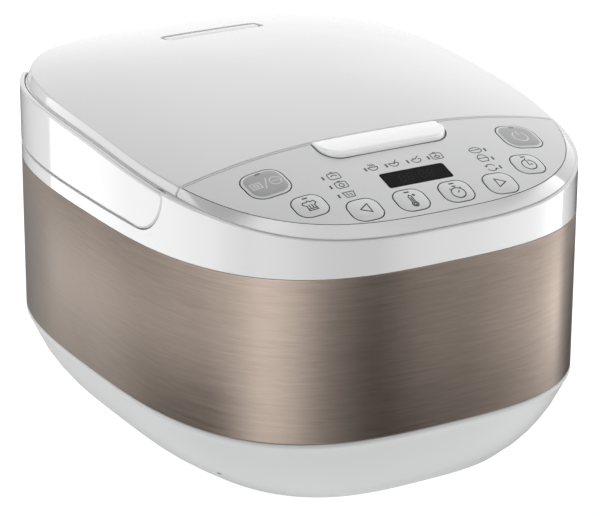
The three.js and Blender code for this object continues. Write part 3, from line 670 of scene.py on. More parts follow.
def panel_loop():
    start = cut_angle(PANEL_REAR_Y, 1.0)
    around = seam_arc(-math.pi - start, start, 300)
    right = skirt_cut(PANEL_REAR_Y, 1)[::-1]
    left = skirt_cut(PANEL_REAR_Y, -1)
    return np.array(around + right[1:] + release_notch(0.6, PANEL_REAR_Y) + left[:-1])


FILM_EDGE = 0.35                  # distance of the film's rim from the crease of the skirt
FILM_REAR = PARTING_Y - 1.9       # its rear rim
FILM_NOTCH = 1.1                  # its distance from the release button


def film_loop(margin):
    rear = FILM_REAR + margin
    edge_inset = EDGE_INSET + FILM_EDGE - margin
    start, _ = right_front_angle(lambda angle: outline(edge_inset, np.array([angle]))[0, 1] < rear)
    around = [tuple(q) for q in outline(edge_inset, np.linspace(-math.pi - start, start, 220))]
    return np.array(around + release_notch(FILM_NOTCH - margin, rear))


def dome_at(x, y):
    return float(dome(np.array([x]), np.array([y]))[0])


def surface_frame(x, y):
    """Right and back directions along the dome at a plan point, as the keys are laid out."""
    step = 2.0
    rise_x = dome_at(x + step, y) - dome_at(x - step, y)
    rise_y = dome_at(x, y + step) - dome_at(x, y - step)
    normal = np.array([-rise_x / (2 * step), -rise_y / (2 * step), 1])
    normal /= np.linalg.norm(normal)
    right = np.array([1, 0, rise_x / (2 * step)])
    right /= np.linalg.norm(right)
    return right, np.cross(normal, right)


def on_panel(points, x, y):
    """Local key points (right, back) as plan points on the dome."""
    right, back = surface_frame(x, y)
    points = np.asarray(points, float)
    plan = points[:, :1] * right[:2] + points[:, 1:] * back[:2]
    return plan + np.array([x, y])


KEY_SIZES = {"large": (13.0, 12.25, 8.5), "small": (9.8, 9.1, 6.8)}    # half sides, corner radius
KEYS = {
    "keep_warm": (-86.5, -117.8, "large"),
    "power": (86.5, -117.8, "large"),
    "recipe": (-73.8, -145.4, "small"),
    "delay": (73.8, -145.4, "small"),
    "back_arrow": (-45.7, -158.7, "small"),
    "next_arrow": (45.7, -158.7, "small"),
    "temperature": (-15.2, -158.8, "small"),
    "timer": (15.2, -158.8, "small"),
}
DISPLAY_SIZE = (21.5, 6.7, 1.2)
DISPLAY_PLACE = (0.0, -140.1)


def panel_opening(size, place, margin):
    """The rounded outline of a key or the display, a margin larger than its size."""
    half_x, half_y, corner = size
    return on_panel(rounded_loop(half_x + margin, half_y + margin, corner + margin), *place)


def key_loop(key, margin):
    x, y, size = KEYS[key]
    return panel_opening(KEY_SIZES[size], (x, y), margin)


def display_loop(margin):
    return panel_opening(DISPLAY_SIZE, DISPLAY_PLACE, margin)


# ------------------------------------------------------------------ loops on the side wall

HALF_TABLE = WALL_RUN <= GIRTH / 2


def run_of(y):
    """Length round the outline from the middle of the back to the place at y, on the left."""
    return np.interp(-np.asarray(y, float), -WALL_TABLE[HALF_TABLE, 1], WALL_RUN[HALF_TABLE])


HANDLE_BEND = 104.0               # behind this the handle's upper edge is level
REAR_DROP = (138.0, 24.0)         # where it drops to the rear height, and over what length


def handle_top(y):
    side = seam_height(y) - 0.5
    level = seam_height(HANDLE_BEND) - 0.5
    start, run = REAR_DROP
    rear = level + (HANDLE_REAR_TOP - level) * smoothstep((y - start) / run)
    return np.where(y < HANDLE_BEND, side, rear)


def handle_end(margin):
    """The handle's round front end as (run, height), from its lowest point forwards and up."""
    radius = HANDLE_RADIUS + margin
    pivot_y, pivot_z = HANDLE_PIVOT
    angles = np.radians(np.linspace(-90, -180, 16))
    return [(run_of(pivot_y + radius * math.cos(a)), pivot_z + radius * math.sin(a)) for a in angles]


def both_sides(left):
    """A loop from its left half, given as (run, height)."""
    return np.array(left + [(-u, z) for u, z in left[::-1]])


def handle_loop():
    ys = np.linspace(HANDLE_PIVOT[0] - HANDLE_RADIUS, HALF_DEPTH - 0.01, 180)
    upper = [(run_of(y), float(handle_top(y))) for y in ys]
    return both_sides([(run_of(HANDLE_JOINT_Y), HANDLE_LOW)] + handle_end(0) + upper)


# ------------------------------------------------------------------ materials

def new_material(name):
    material = bpy.data.materials.new(name)
    material.use_nodes = True
    nodes = material.node_tree.nodes
    return material, nodes, material.node_tree.links, nodes["Principled BSDF"]


def set_inputs(node, values):
    for name, value in values.items():
        node.inputs[name].default_value = value


def noise_over(nodes, links, coordinates, values):
    """A noise texture over the given coordinates."""
    noise = nodes.new("ShaderNodeTexNoise")
    set_inputs(noise, values)
    links.new(coordinates, noise.inputs["Vector"])
    return noise.outputs["Fac"]


def tint_by(nodes, links, share, first, second, shader):
    """Gives a shader a base colour between two, by a share."""
    tint = nodes.new("ShaderNodeMix")
    tint.data_type = "RGBA"
    tint.inputs["A"].default_value = (*first, 1)
    tint.inputs["B"].default_value = (*second, 1)
    links.new(share, tint.inputs["Factor"])
    links.new(tint.outputs["Result"], shader.inputs["Base Color"])


def roughness_by(nodes, links, share, low_value, high_value, shader):
    """Gives a shader a roughness between two values, by a share."""
    span = nodes.new("ShaderNodeMapRange")
    span.inputs["To Min"].default_value = low_value
    span.inputs["To Max"].default_value = high_value
    links.new(share, span.inputs["Value"])
    links.new(span.outputs["Result"], shader.inputs["Roughness"])


def bump_by(nodes, links, height, strength, reach_m, shader):
    """Gives a shader a relief from a height."""
    bump = nodes.new("ShaderNodeBump")
    bump.inputs["Strength"].default_value = strength
    bump.inputs["Distance"].default_value = reach_m
    links.new(height, bump.inputs["Height"])
    links.new(bump.outputs["Normal"], shader.inputs["Normal"])


def finish_with(name, colour, roughness, metallic=0.0, coat=0.0, grain=0.0, grain_scale=900.0,
                mottle=0.03, ior=1.5, coat_ior=1.5, glow=0.0):
    """A procedural finish: slightly uneven colour and roughness, a fine grain in the surface, and an optional
    glow that is painted light, emitted by a part that is no lamp.
    """
    material, nodes, links, shader = new_material(name)
    set_inputs(shader, {
        "Metallic": metallic, "IOR": ior, "Coat Weight": coat, "Coat Roughness": 0.04, "Coat IOR": coat_ior,
        "Emission Color": (1, 1, 1, 1), "Emission Strength": glow,
    })
    place = nodes.new("ShaderNodeTexCoord").outputs["Object"]
    cloud = noise_over(nodes, links, place, {"Scale": 22, "Detail": 3})
    darker = [c * (1 - mottle) for c in colour]
    lighter = [min(c * (1 + mottle), 1) for c in colour]
    tint_by(nodes, links, cloud, darker, lighter, shader)
    roughness_by(nodes, links, cloud, roughness * 0.92, min(roughness * 1.08, 1), shader)
    if grain > 0:
        speck = noise_over(nodes, links, place, {"Scale": grain_scale, "Detail": 2})
        bump_by(nodes, links, speck, grain, 0.0002, shader)
    return material


def brushed_band():
    """Champagne metal brushed round the body: long level streaks in tone, gloss and relief."""
    material, nodes, links, shader = new_material("champagne_brushed")
    set_inputs(shader, {"Metallic": 1.0, "Anisotropic": 0.75, "Anisotropic Rotation": 0.25})
    tangent = nodes.new("ShaderNodeTangent")
    tangent.direction_type = "RADIAL"
    tangent.axis = "Z"
    links.new(tangent.outputs["Tangent"], shader.inputs["Tangent"])
    place = nodes.new("ShaderNodeTexCoord").outputs["Object"]
    layers = []
    for along, across in ((70.0, 1500.0), (22.0, 520.0)):
        scale = nodes.new("ShaderNodeMapping")
        scale.inputs["Scale"].default_value = (along, along, across)
        links.new(place, scale.inputs["Vector"])
        streak = {"Scale": 1.0, "Detail": 3, "Roughness": 0.7}
        layers.append(noise_over(nodes, links, scale.outputs["Vector"], streak))
    blend = nodes.new("ShaderNodeMath")
    blend.operation = "ADD"
    links.new(layers[0], blend.inputs[0])
    links.new(layers[1], blend.inputs[1])
    tone = nodes.new("ShaderNodeMapRange")
    tone.inputs["From Min"].default_value = 0.7
    tone.inputs["From Max"].default_value = 1.3
    links.new(blend.outputs["Value"], tone.inputs["Value"])
    tint_by(nodes, links, tone.outputs["Result"], (0.33, 0.268, 0.226), (0.41, 0.338, 0.288), shader)
    roughness_by(nodes, links, tone.outputs["Result"], 0.3, 0.38, shader)
    bump_by(nodes, links, layers[0], 0.12, 0.0001, shader)
    return material


WHITE = finish_with("white_gloss", (0.82, 0.82, 0.82), 0.12, coat=1.0, mottle=0.004, coat_ior=1.7)
# The release button's white is painted light: brighter than the rest of the white plastic, with an emitted
# glow.
BUTTON_WHITE_PAINTED_LIGHT = finish_with("button_white", (0.95, 0.95, 0.95), 0.2, coat=1.0, mottle=0.003, glow=0.14)
WHITE_BASE = finish_with("white_base", (0.70, 0.705, 0.71), 0.3, mottle=0.005)
FILM = finish_with("panel_film", (0.79, 0.79, 0.795), 0.38, mottle=0.004)
# Grey of the large keys; the same colour is also the painted shade on the floor of the vent's gap.
KEY_GREY_AND_VENT_SHADE = finish_with("key_grey", (0.43, 0.43, 0.435), 0.36, mottle=0.01)
KEY_LIGHT = finish_with("key_light", (0.80, 0.80, 0.805), 0.36, mottle=0.004)
# Dark print; the same colour is also the painted shade of the gap round the release button.
INK_AND_GAP_SHADE = finish_with("print_dark", (0.035, 0.035, 0.04), 0.5)
INK_GREY = finish_with("print_grey", (0.032, 0.032, 0.034), 0.5)
INK_LIGHT = finish_with("print_light", (0.76, 0.76, 0.76), 0.5)
LENS = finish_with("display_lens", (0.012, 0.012, 0.013), 0.3, ior=1.1)
DIGITS = finish_with("display_digits", (0.028, 0.028, 0.03), 0.3, ior=1.1)
BAND = brushed_band()
STEEL = finish_with("steel", (0.62, 0.62, 0.63), 0.28, metallic=1.0, grain=0.05)
ALUMINIUM = finish_with("aluminium", (0.74, 0.75, 0.76), 0.4, metallic=1.0, grain=0.15)
COATING = finish_with("pot_coating", (0.035, 0.036, 0.038), 0.42, grain=0.25, grain_scale=2200, mottle=0.1)
GREY_PLASTIC = finish_with("grey_plastic", (0.52, 0.52, 0.515), 0.45, grain=0.1)
DARK_PLASTIC = finish_with("dark_plastic", (0.03, 0.03, 0.032), 0.5, grain=0.15)
RUBBER = finish_with("rubber", (0.06, 0.06, 0.062), 0.8, grain=0.3, grain_scale=1400)
SILICONE = finish_with("silicone", (0.70, 0.70, 0.68), 0.6)
CIRCUIT = finish_with("circuit", (0.03, 0.14, 0.06), 0.45, mottle=0.15)
SHADE = finish_with("gap_shade", (0.018, 0.018, 0.019), 0.7)

SLOTS = {
    "white_plastic": WHITE, "panel_film": FILM, "key_grey": KEY_GREY_AND_VENT_SHADE, "key_light": KEY_LIGHT,
    "display_lens": LENS, "champagne_band": BAND, "steel": STEEL, "aluminium": ALUMINIUM,
    "pot_coating": COATING, "grey_plastic": GREY_PLASTIC, "dark_plastic": DARK_PLASTIC,
    "rubber": RUBBER, "silicone": SILICONE, "circuit": CIRCUIT,
}
NODE_BODY = {node: body for body, nodes in frame["record"]["behaviour"]["bodies"].items() for node in nodes}
NODE_SLOT = {part["node"]: part["material_slot"] for part in frame["record"]["subparts"]}


def add(obj, body, slot, *nodes):
    """Puts a piece on its body and hides the CAD nodes it stands for; the slot is not used."""
    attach(obj, body)
    if nodes:
        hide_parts(*nodes)
    return obj


# ------------------------------------------------------------------ lid

GUIDE_STEPS = (-3, -1.2, -0.6, -0.35, -0.15, 0.15, 0.35, 0.7, 1.5)     # past the crease


def edge_guides(first=-math.pi, last=math.pi, count=560):
    """Points close to the crease between dome and skirt, and down the skirt."""
    angles = np.linspace(first, last, count, endpoint=False)
    ray = np.column_stack([np.cos(angles), np.sin(angles)])
    edge_reach = 1 / reach(ray[:, 0], ray[:, 1], EDGE_INSET)
    rings = [ray * (edge_reach + delta)[:, None] for delta in GUIDE_STEPS]
    rings += [skirt_point(angles, share) for share in (0.5, 0.75)]
    return np.vstack(rings)


def upright_normals(q):
    return np.tile([0.0, 0.0, 1.0], (len(q), 1))


UNDER_SKIN = 0.9                  # the walls along the parting line end this far below the skin
INNER_INSET = EDGE_INSET + 1.5


def top_line(x, y):
    """Height of the under side of the top skin at a plan place."""
    share = reach(np.array([x]), np.array([y]), INNER_INSET)[0]
    if share < 1:
        return dome_at(x, y) - UNDER_SKIN
    drop = (share - 1) * abs(x)
    rise = edge_height(y) - seam_height(y)
    return float(edge_height(y)) - UNDER_SKIN - drop / (INNER_INSET - SKIRT_INSET) * rise * 0.6


def straight_cut_wall(name, front, rear, lower, notch_half, notch_foot=None, notch_top=None):
    """The upright wall under the top skin along the parting line, notched at its foot or its top."""
    half = float(outline(SKIRT_INSET + 0.6, np.array([cut_angle(front, 1.0)]))[0, 0])
    sides = [-notch_half - 0.01, -notch_half, notch_half, notch_half + 0.01]
    xs = np.unique(np.concatenate([np.linspace(-half, half, 121), sides]))
    height = np.array([top_line(x, (front + rear) / 2) for x in xs])
    bottom = np.full(len(xs), lower)
    in_notch = np.abs(xs) <= notch_half + 1e-6
    if notch_foot is not None:
        bottom[in_notch] = notch_foot
    if notch_top is not None:
        height[in_notch] = notch_top
    points = []
    for x, top, low_z in zip(xs, height, bottom):
        points += [[x, front, low_z], [x, front, top], [x, rear, top], [x, rear, low_z]]
    faces = []
    last = 4 * (len(xs) - 1)
    for a in range(0, last, 4):
        for k in range(4):
            m = (k + 1) % 4
            faces.append([a + k, a + 4 + k, a + 4 + m, a + m])
    faces.append([0, 1, 2, 3])
    faces.append([last + k for k in (3, 2, 1, 0)])
    return build_mesh(name, points, faces, [WHITE])


VENT_Y = 98.5                     # middle of the steam valve
SLOT_Y = VENT_Y + 1.8             # middle of the visible slot


def vent_loop(half_x, half_y, radius):
    """A slot whose rear side bows a little towards the back."""
    loop = on_panel(rounded_loop(half_x, half_y, radius, 10), 0, SLOT_Y)
    bow = 1.2 * np.clip(1 - (loop[:, 0] / half_x) ** 2, 0, 1) * (loop[:, 1] > SLOT_Y)
    return np.column_stack([loop[:, 0], loop[:, 1] + bow])


lid_shell = patch("lid_shell", TOP, [lid_loop(), vent_loop(35.2, 7.75, 5)], [WHITE, WHITE],
                  lip=0.45, thickness=SHELL_THICK, guides=edge_guides())
add(lid_shell, "lid", "white_plastic", "lid_cover")


def vent_cap_depth(q):
    """The cap slopes down towards the front of its slot."""
    return 0.3 + 0.9 * smoothstep((SLOT_Y + 1 - q[:, 1]) / 5)


def level_at(depth):
    return lambda q: np.full(len(q), depth)


vent_cap = patch("vent_cap", TOP, [vent_loop(33.6, 4.9, 2.6)], [WHITE, WHITE], spacing=(2, 1.2), lip=1.1,
                 thickness=3.4, edge_step=0.9, depth=vent_cap_depth)
add(vent_cap, "lid", "white_plastic", "steam_vent_cap")

# A grey floor in the gap round the vent cap: painted shade, so that the slot reads deep.
vent_groove_painted_shade = patch("vent_groove_painted_shade", TOP, [vent_loop(35.0, 7.6, 5), vent_loop(33.7, 5.0, 2.7)],
                    [KEY_GREY_AND_VENT_SHADE, KEY_GREY_AND_VENT_SHADE], spacing=(2, 1.2), lip=0.1, thickness=0.5, depth=level_at(1.5))
add(vent_groove_painted_shade, "lid", "key_grey", "steam_vent_cap")

lid_front = straight_cut_wall("lid_front_wall", LID_FRONT_Y, LID_FRONT_Y + PARTING_WALL,
                              float(seam_height(LID_FRONT_Y)) + 0.1, 12.6, notch_foot=197.3)
add(lid_front, "lid", "white_plastic", "lid_cover")


def bar_along_x(name, profile, x0, x1, materials):
    """A (y, z) profile drawn out along x, with its end edges eased."""
    edge = 0.4
    profile = np.asarray(profile, float)
    if loop_area(profile) < 0:
        profile = profile[::-1]
    centre = profile.mean(0)
    size = np.abs(profile - centre).max()
    small = centre + (profile - centre) * (1 - edge / size)
    nearly = small + (profile - small) * 0.7
    rings = [(x0, small), (x0 + edge * 0.3, nearly), (x0 + edge, profile),
             (x1 - edge, profile), (x1 - edge * 0.3, nearly), (x1, small)]
    points = [[x, y, z] for x, ring in rings for y, z in ring]
    return build_mesh(name, points, join_rings(len(rings), len(profile), capped=True), materials)


BARREL_RADIUS = 7.5
BARREL_HALF = 46


def knuckle_profile():
    """The lid's hinge barrel with the web that joins it to the shell above."""
    points = []
    for a in np.linspace(math.pi, 2 * math.pi, 25):
        points.append((HINGE_Y + BARREL_RADIUS * math.cos(a), HINGE_Z + BARREL_RADIUS * math.sin(a)))
    rear_top = float(edge_height(HINGE_Y)) - 1.5
    points.append((HINGE_Y + BARREL_RADIUS, HINGE_Z + 2))
    points.append((HINGE_Y + 1, rear_top - 1.5))
    points.append((HINGE_Y - BARREL_RADIUS, rear_top + 1.0))
    return points


knuckle = bar_along_x("lid_knuckle", knuckle_profile(), -BARREL_HALF, BARREL_HALF, [WHITE])
add(knuckle, "lid", "white_plastic", "lid_cover")


# ------------------------------------------------------------------ control panel

KEY_GAP = 0.7                     # dark line round each key
FILM_BED = 1.1                    # depth of the bed that the film lies in
film_edge = film_loop(0.4)
panel_holes = [key_loop(key, KEY_GAP) for key in KEYS] + [display_loop(0.3)]


def film_bed(q):
    return np.where(inside(q, film_edge), FILM_BED, 0.0)


panel_shell = patch("panel_shell", TOP, [panel_loop()] + panel_holes, [WHITE, WHITE], spacing=(3, 3), lip=0.4,
                    thickness=SHELL_THICK, depth=film_bed, creases=[film_loop(0.3), film_loop(0.5)],
                    guides=edge_guides(-math.pi, 0, 300))
add(panel_shell, "cooker", "white_plastic", "panel_housing")

# The film's rims and under side have painted gap shade, so the lines round the keys read dark.
film = patch("panel_film_sheet", TOP, [film_loop(0)] + panel_holes, [FILM, SHADE], spacing=(3, 3), lip=0.12,
             thickness=0.8, edge_step=1.2)
add(film, "cooker", "panel_film", "control_film")

panel_rear = straight_cut_wall("panel_rear_wall", PANEL_REAR_Y - PARTING_WALL, PANEL_REAR_Y,
                               float(seam_height(PANEL_REAR_Y)) + 0.1, 43.1, notch_top=192.5)
add(panel_rear, "cooker", "white_plastic", "panel_housing")


def swell(q, loop, height, width):
    """A low rise that grows from the rim of a loop inwards."""
    return height * smoothstep(to_loop(q, loop) / width)


def key_rise(key):
    """How far a key's face stands above the top skin."""
    loop = resample(key_loop(key, 0), 0.8)
    return lambda q: 0.22 + swell(np.asarray(q, float), loop, 0.5, 4.5)


def lifted(rise, extra):
    """The top skin raised by a rise function and a little more, as a place function."""
    return lambda q: top_skin(q) + skin_normals(q) * (rise(q) + extra)[:, None]


def flat_rise(q):
    return np.zeros(len(q))


def printed(name, body, slot, x, y, strokes, width, rise, material, extra=0.015):
    """Thin printed lines at a place on the panel, given in local (right, back) millimetres."""
    plan = [on_panel(stroke, x, y) for stroke in strokes]
    points, faces = ribbon(lifted(rise, extra), skin_normals, plan, width, 0.0, 0.03)
    return add(build_mesh(name, points, faces, [material], sharp=math.radians(60)), body, slot)


def circle(radius, centre=(0, 0), first=0, last=360, count=28):
    angles = np.radians(np.linspace(first, last, count))
    return [(centre[0] + radius * math.cos(a), centre[1] + radius * math.sin(a)) for a in angles]


def polyline(*points, close=False, step=0.7):
    """Straight lines between points, in short steps so that they can follow the dome."""
    points = list(points) + ([points[0]] if close else [])
    result = [points[0]]
    for a, b in zip(points, points[1:]):
        count = max(int(math.hypot(b[0] - a[0], b[1] - a[1]) / step), 1)
        result += [(a[0] + (b[0] - a[0]) * k / count, a[1] + (b[1] - a[1]) * k / count)
                   for k in range(1, count + 1)]
    return result


def mirrored(strokes):
    return [[(-x, y) for x, y in stroke] for stroke in strokes]


TRIANGLE = [polyline((-3.3, 0), (2.7, 3.7), (2.7, -3.7), close=True)]
ICONS = {
    "recipe": [
        polyline((-2.8, -4.6), (-2.4, -0.6), (-4.3, 1.2), (-3.4, 3.0), (-1.2, 2.6), (0, 3.7), (1.2, 2.6),
                 (3.4, 3.0), (4.3, 1.2), (2.4, -0.6), (2.8, -4.6), close=True),
        polyline((-2.6, -3.2), (2.6, -3.2)),
        polyline((-0.9, -2.6), (-0.9, 0.4)),
        polyline((0.9, -2.6), (0.9, 0.4)),
    ],
    "delay": [
        circle(4.6, (0, -1.4), 100, 430),
        polyline((0, 1.6), (0, -1.4), (2.6, -1.4)),
        polyline((0.6, 4.6), (-0.8, 3.2), (0.6, 1.8)),
    ],
    "back_arrow": TRIANGLE,
    "next_arrow": mirrored(TRIANGLE),
    "temperature": [
        circle(1.0, (0, -4.4)),
        circle(1.9, (0, -4.4), 118, 422),
        polyline((-1.1, -2.8), (-1.1, 2.4), (0, 3.5), (1.1, 2.4), (1.1, -2.8)),
        polyline((0, -4.0), (0, 1.4)),
        circle(0.6, (2.9, 3.0), count=12),
    ],
    "timer": [
        circle(4.3, (0, -2.2)),
        polyline((0, -2.2), (1.5, -0.4)),
        polyline((-1.3, 3.7), (1.3, 3.7)),
        polyline((0, 2.2), (0, 3.6)),
        polyline((-3.9, 1.4), (-3.0, 2.3)),
        polyline((3.9, 1.4), (3.0, 2.3)),
    ],
    "keep_warm": [
        polyline((-9.4, 2.2), (-9.4, -3.0), (-3.4, -3.0), (-3.4, 2.2), close=True),
        polyline((-7.6, 0.6), (-7.6, -1.5), (-5.2, -1.5), (-5.2, 0.6), close=True),
        polyline((-2.2, -5.0), (2.0, 4.0)),
        circle(3.5, (6.1, -0.4)),
        polyline((4.1, -0.4), (8.1, -0.4)),
    ],
    "power": [circle(4.9, (0, -1.0), 122, 418), polyline((0, 0.4), (0, 5.2))],
}

for key, (x, y, size) in KEYS.items():
    node = key + "_button"
    large = size == "large"
    slot = "key_grey" if large else "key_light"
    rise = key_rise(key)
    # The sides and back of each key have painted gap shade.
    cap = patch(node + "_cap", TOP, [key_loop(key, 0)], [KEY_LIGHT, SHADE], spacing=(1.3, 1.3), lip=0.35,
                thickness=5, edge_step=0.8, depth=lambda q, rise=rise: -rise(q))
    add(cap, node, slot, node)
    if large:
        inlay = patch(node + "_inlay", TOP, [key_loop(key, -1.5)], [KEY_GREY_AND_VENT_SHADE, SHADE], spacing=(1.3, 1.3),
                      lip=0.08, thickness=0.1, edge_step=0.8, depth=lambda q, rise=rise: -rise(q) - 0.06)
        add(inlay, node, slot)
    stroke, ink, clear = (0.8, INK_LIGHT, 0.07) if large else (0.7, INK_GREY, 0.015)
    printed(node + "_icon", node, slot, x, y, ICONS[key], stroke, rise, ink, extra=clear)
    if key not in ("back_arrow", "next_arrow"):
        bar_y = KEY_SIZES[size][1] - 2.6
        bar = polyline((-1.7, bar_y), (1.7, bar_y))
        printed(node + "_lamp", node, slot, x, y, [bar], 1.25, rise, INK_GREY, extra=clear)


# ------------------------------------------------------------------ printing on the film

def oval(half_x, half_y, centre=(0, 0), count=22):
    return [(centre[0] + half_x * math.cos(t), centre[1] + half_y * math.sin(t))
            for t in np.linspace(0, 2 * math.pi, count)]


def pot_outline(half_x, half_y):
    """A rounded pan seen from the side, with a knob on its lid."""
    loop = rounded_loop(half_x, half_y, 1.3, 5)
    return [np.vstack([loop, loop[:1]]), polyline((-1.0, half_y + 0.9), (1.0, half_y + 0.9))]


def wave(x, y, length):
    return [(x + 0.35 * math.sin(t * 2.6), y + t) for t in np.linspace(0, length, 8)]


ROAST = pot_outline(3.7, 2.8) + [circle(2.0, (0, -1.0), 20, 160, 10)]
SIMMER = pot_outline(3.7, 2.8) + [circle(1.5, (0, -0.2), count=16)]
STEW = [polyline((-3.9, 1.8), (3.9, 1.8)), polyline((-3.5, 1.8), (-2.6, -2.8), (2.6, -2.8), (3.5, 1.8)),
        wave(-1.0, -1.6, 2.2), wave(1.0, -1.6, 2.2)]
BREAD = [oval(4.0, 2.7), polyline((-3.0, 0.3), (3.0, 0.3))]
CAKE = [polyline((-3.6, 0.8), (-2.4, -2.4), (2.4, -2.4), (3.6, 0.8), close=True),
        circle(3.2, (0, 0.9), 10, 170, 12)]
STIR = [circle(3.1, (0, 0), 20, 160, 12), circle(3.1, (0, 0), 200, 340, 12),
        polyline((-3.6, 2.2), (-2.9, 1.1), (-1.8, 1.8)), polyline((3.6, -2.2), (2.9, -1.1), (1.8, -1.8))]
SOUP = [circle(3.0, (0, 0.4), 180, 360, 12), polyline((-3.4, 0.4), (3.4, 0.4)), wave(-1.2, 1.3, 2.2),
        wave(0.2, 1.3, 2.2), wave(1.6, 1.3, 2.2)]
LADLE = [circle(3.1, (0, 0.6), 180, 360, 12), polyline((-3.5, 0.6), (3.5, 0.6)),
         polyline((0, -0.6), (2.9, 3.4))]
GRAIN = [circle(3.1, (0, 0.6), 180, 360, 12), polyline((-3.1, 0.6), (-1.1, 0.6)),
         polyline((-1.6, 2.2), (-0.2, 0.8), (2.8, 3.4)), polyline((1.4, 0.6), (3.1, 0.6))]
RICE = pot_outline(3.6, 2.8) + [oval(1.7, 0.9, (0, -0.6), 14), polyline((0, 0.4), (0, 1.8))]
PICTOGRAMS = [
    (-47.3, -127.1, ROAST), (-47.3, -135.5, SIMMER), (-47.3, -143.9, STEW),
    (48.8, -127.5, BREAD), (48.8, -136.1, CAKE), (48.8, -144.6, STIR),
    (-21.2, -126.9, SOUP), (-7.1, -126.9, LADLE), (8.0, -127.2, GRAIN), (22.2, -127.1, RICE),
]
LAMP_BARS = [
    (-54.4, -127.0), (-54.3, -135.6), (-54.1, -144.2), (55.2, -128.0), (55.0, -136.6), (54.7, -145.1),
    (-26.4, -127.5), (-12.4, -127.5), (2.1, -127.6), (16.3, -127.5),
]
for number, (x, y, strokes) in enumerate(PICTOGRAMS):
    printed(f"pictogram_{number}", "cooker", "panel_film", x, y, strokes, 0.58, flat_rise, INK_GREY)
LAMP_BAR = [polyline((0, -1.6), (0, 1.6))]
for number, (x, y) in enumerate(LAMP_BARS):
    printed(f"lamp_{number}", "cooker", "panel_film", x, y, LAMP_BAR, 1.15, flat_rise, INK_AND_GAP_SHADE)

window = patch("display_glass", TOP, [display_loop(0)], [LENS, LENS], spacing=(1.6, 1.6), lip=0.25,
               thickness=2.2, edge_step=0.8, depth=level_at(0.08))
add(window, "cooker", "display_lens", "display_window")


DIGIT_HALF = (1.6, 3.2)           # half width and half height of a digit
DIGIT_LEAN = 0.35
SEGMENTS = [((-1, 0), (1, 0)), ((-1, 1), (1, 1)), ((-1, 2), (1, 2)), ((-1, 0), (-1, 1)),
            ((-1, 1), (-1, 2)), ((1, 0), (1, 1)), ((1, 1), (1, 2))]


def seven_segments(x):
    """The strokes of a digit; its corners are named by side and row."""
    half_w, half_h = DIGIT_HALF
    corners = {}
    for row, height in enumerate((-half_h, 0, half_h)):
        for side in (-1, 1):
            corners[(side, row)] = (x + side * half_w + DIGIT_LEAN * height / half_h, height)
    strokes = []
    for a, b in SEGMENTS:
        (ax, ay), (bx, by) = corners[a], corners[b]
        strokes.append([(ax + (bx - ax) * t, ay + (by - ay) * t) for t in (0.14, 0.5, 0.86)])
    return strokes


digits = []
for x in (-9.5, -4.3, 4.3, 9.5):
    digits += seven_segments(x)
digits += [polyline((0.1, 1.0), (0.2, 1.8)), polyline((-0.2, -1.8), (-0.1, -1.0))]
printed("display_digits", "cooker", "display_lens", 0, DISPLAY_PLACE[1], digits, 0.62, flat_rise, DIGITS,
        extra=-0.07)


# ------------------------------------------------------------------ release button

RELEASE_TOP = 206.3
RELEASE_FOOT = 197.5
ROLL_START = -97.0                # in front of this the button's top rolls down
ROLL_RUN = 16.5
ROLL_DROP = 2.6


def release_depth(q):
    """Depth of the button below the dome: level near the lid, rolling down towards the front."""
    x, y = q[:, 0], q[:, 1]
    t = np.clip((ROLL_START - y) / ROLL_RUN, 0, 1)
    top = RELEASE_TOP - ROLL_DROP * t ** 2.2 - 0.5 * (x / RELEASE_HALF) ** 2
    return dome(x, y) - top


def release_back(q):
    """Depth of the button's level under side."""
    return dome(q[:, 0], q[:, 1]) - RELEASE_FOOT


# Its finish is painted light, a brighter white with a glow.
release_cap = patch("release_cap", (top_skin, upright_normals), [release_notch(0.0, PANEL_REAR_Y)],
                    [BUTTON_WHITE_PAINTED_LIGHT, BUTTON_WHITE_PAINTED_LIGHT], spacing=(1.6, 1.2), lip=1.3, edge_step=0.9,
                    depth=release_depth, back_depth=release_back)
add(release_cap, "release", "white_plastic", "release_button")

# A dark line on the film round the release button: painted shade for the button's gap.
line_points, line_faces = ribbon(top_skin, skin_normals, [release_notch(0.75, FILM_REAR)], 0.9, 0.0, 0.04)
release_gap_shade_line = build_mesh("release_gap_painted_shade", line_points, line_faces, [INK_AND_GAP_SHADE])
add(release_gap_shade_line, "cooker", "panel_film")


# ------------------------------------------------------------------ handle and upper housing

handle = patch("handle_bar", WALL, [handle_loop()], [WHITE, WHITE], spacing=(3.2, 2.6), lip=1.2,
               thickness=HANDLE_THICK, edge_step=1.0)
add(handle, "handle", "white_plastic", "carry_handle")


ABOVE_HOUSING = 215.0
RECESS_DEPTH = 3.5
POCKET_X = 132.9                  # flat floor of the pockets round the handle's pins
POCKET_TOP = 189


def recess_loop(margin):
    """The space for the handle in the housing's wall; it runs out over the housing's top."""
    end = handle_end(margin)
    left = [(run_of(HANDLE_JOINT_Y), HANDLE_LOW - margin - 0.4)] + end + [(end[-1][0], ABOVE_HOUSING)]
    left += [(run_of(y), ABOVE_HOUSING) for y in (112.0, *np.linspace(112, HALF_DEPTH - 0.01, 40))]
    return both_sides(left)


recess = recess_loop(0.6)


def recess_depth(q):
    place = side_wall(q)
    normal = wall_normals(q)
    in_recess = inside(q, recess)
    from_pivot = np.hypot(place[:, 1] - HANDLE_PIVOT[0], place[:, 2] - HANDLE_PIVOT[1])
    to_plane = (np.abs(place[:, 0]) - POCKET_X) / np.maximum(np.abs(normal[:, 0]), 0.3)
    in_pocket = (from_pivot < HANDLE_RADIUS + 0.5) & (place[:, 2] < POCKET_TOP)
    deep = np.where(in_pocket, np.maximum(to_plane, RECESS_DEPTH), RECESS_DEPTH)
    return np.where(in_recess, deep, 0.0)


def housing_top(u):
    y = side_wall(np.column_stack([u, np.zeros(len(u))]))[:, 1]
    return seam_height(y) - 0.25


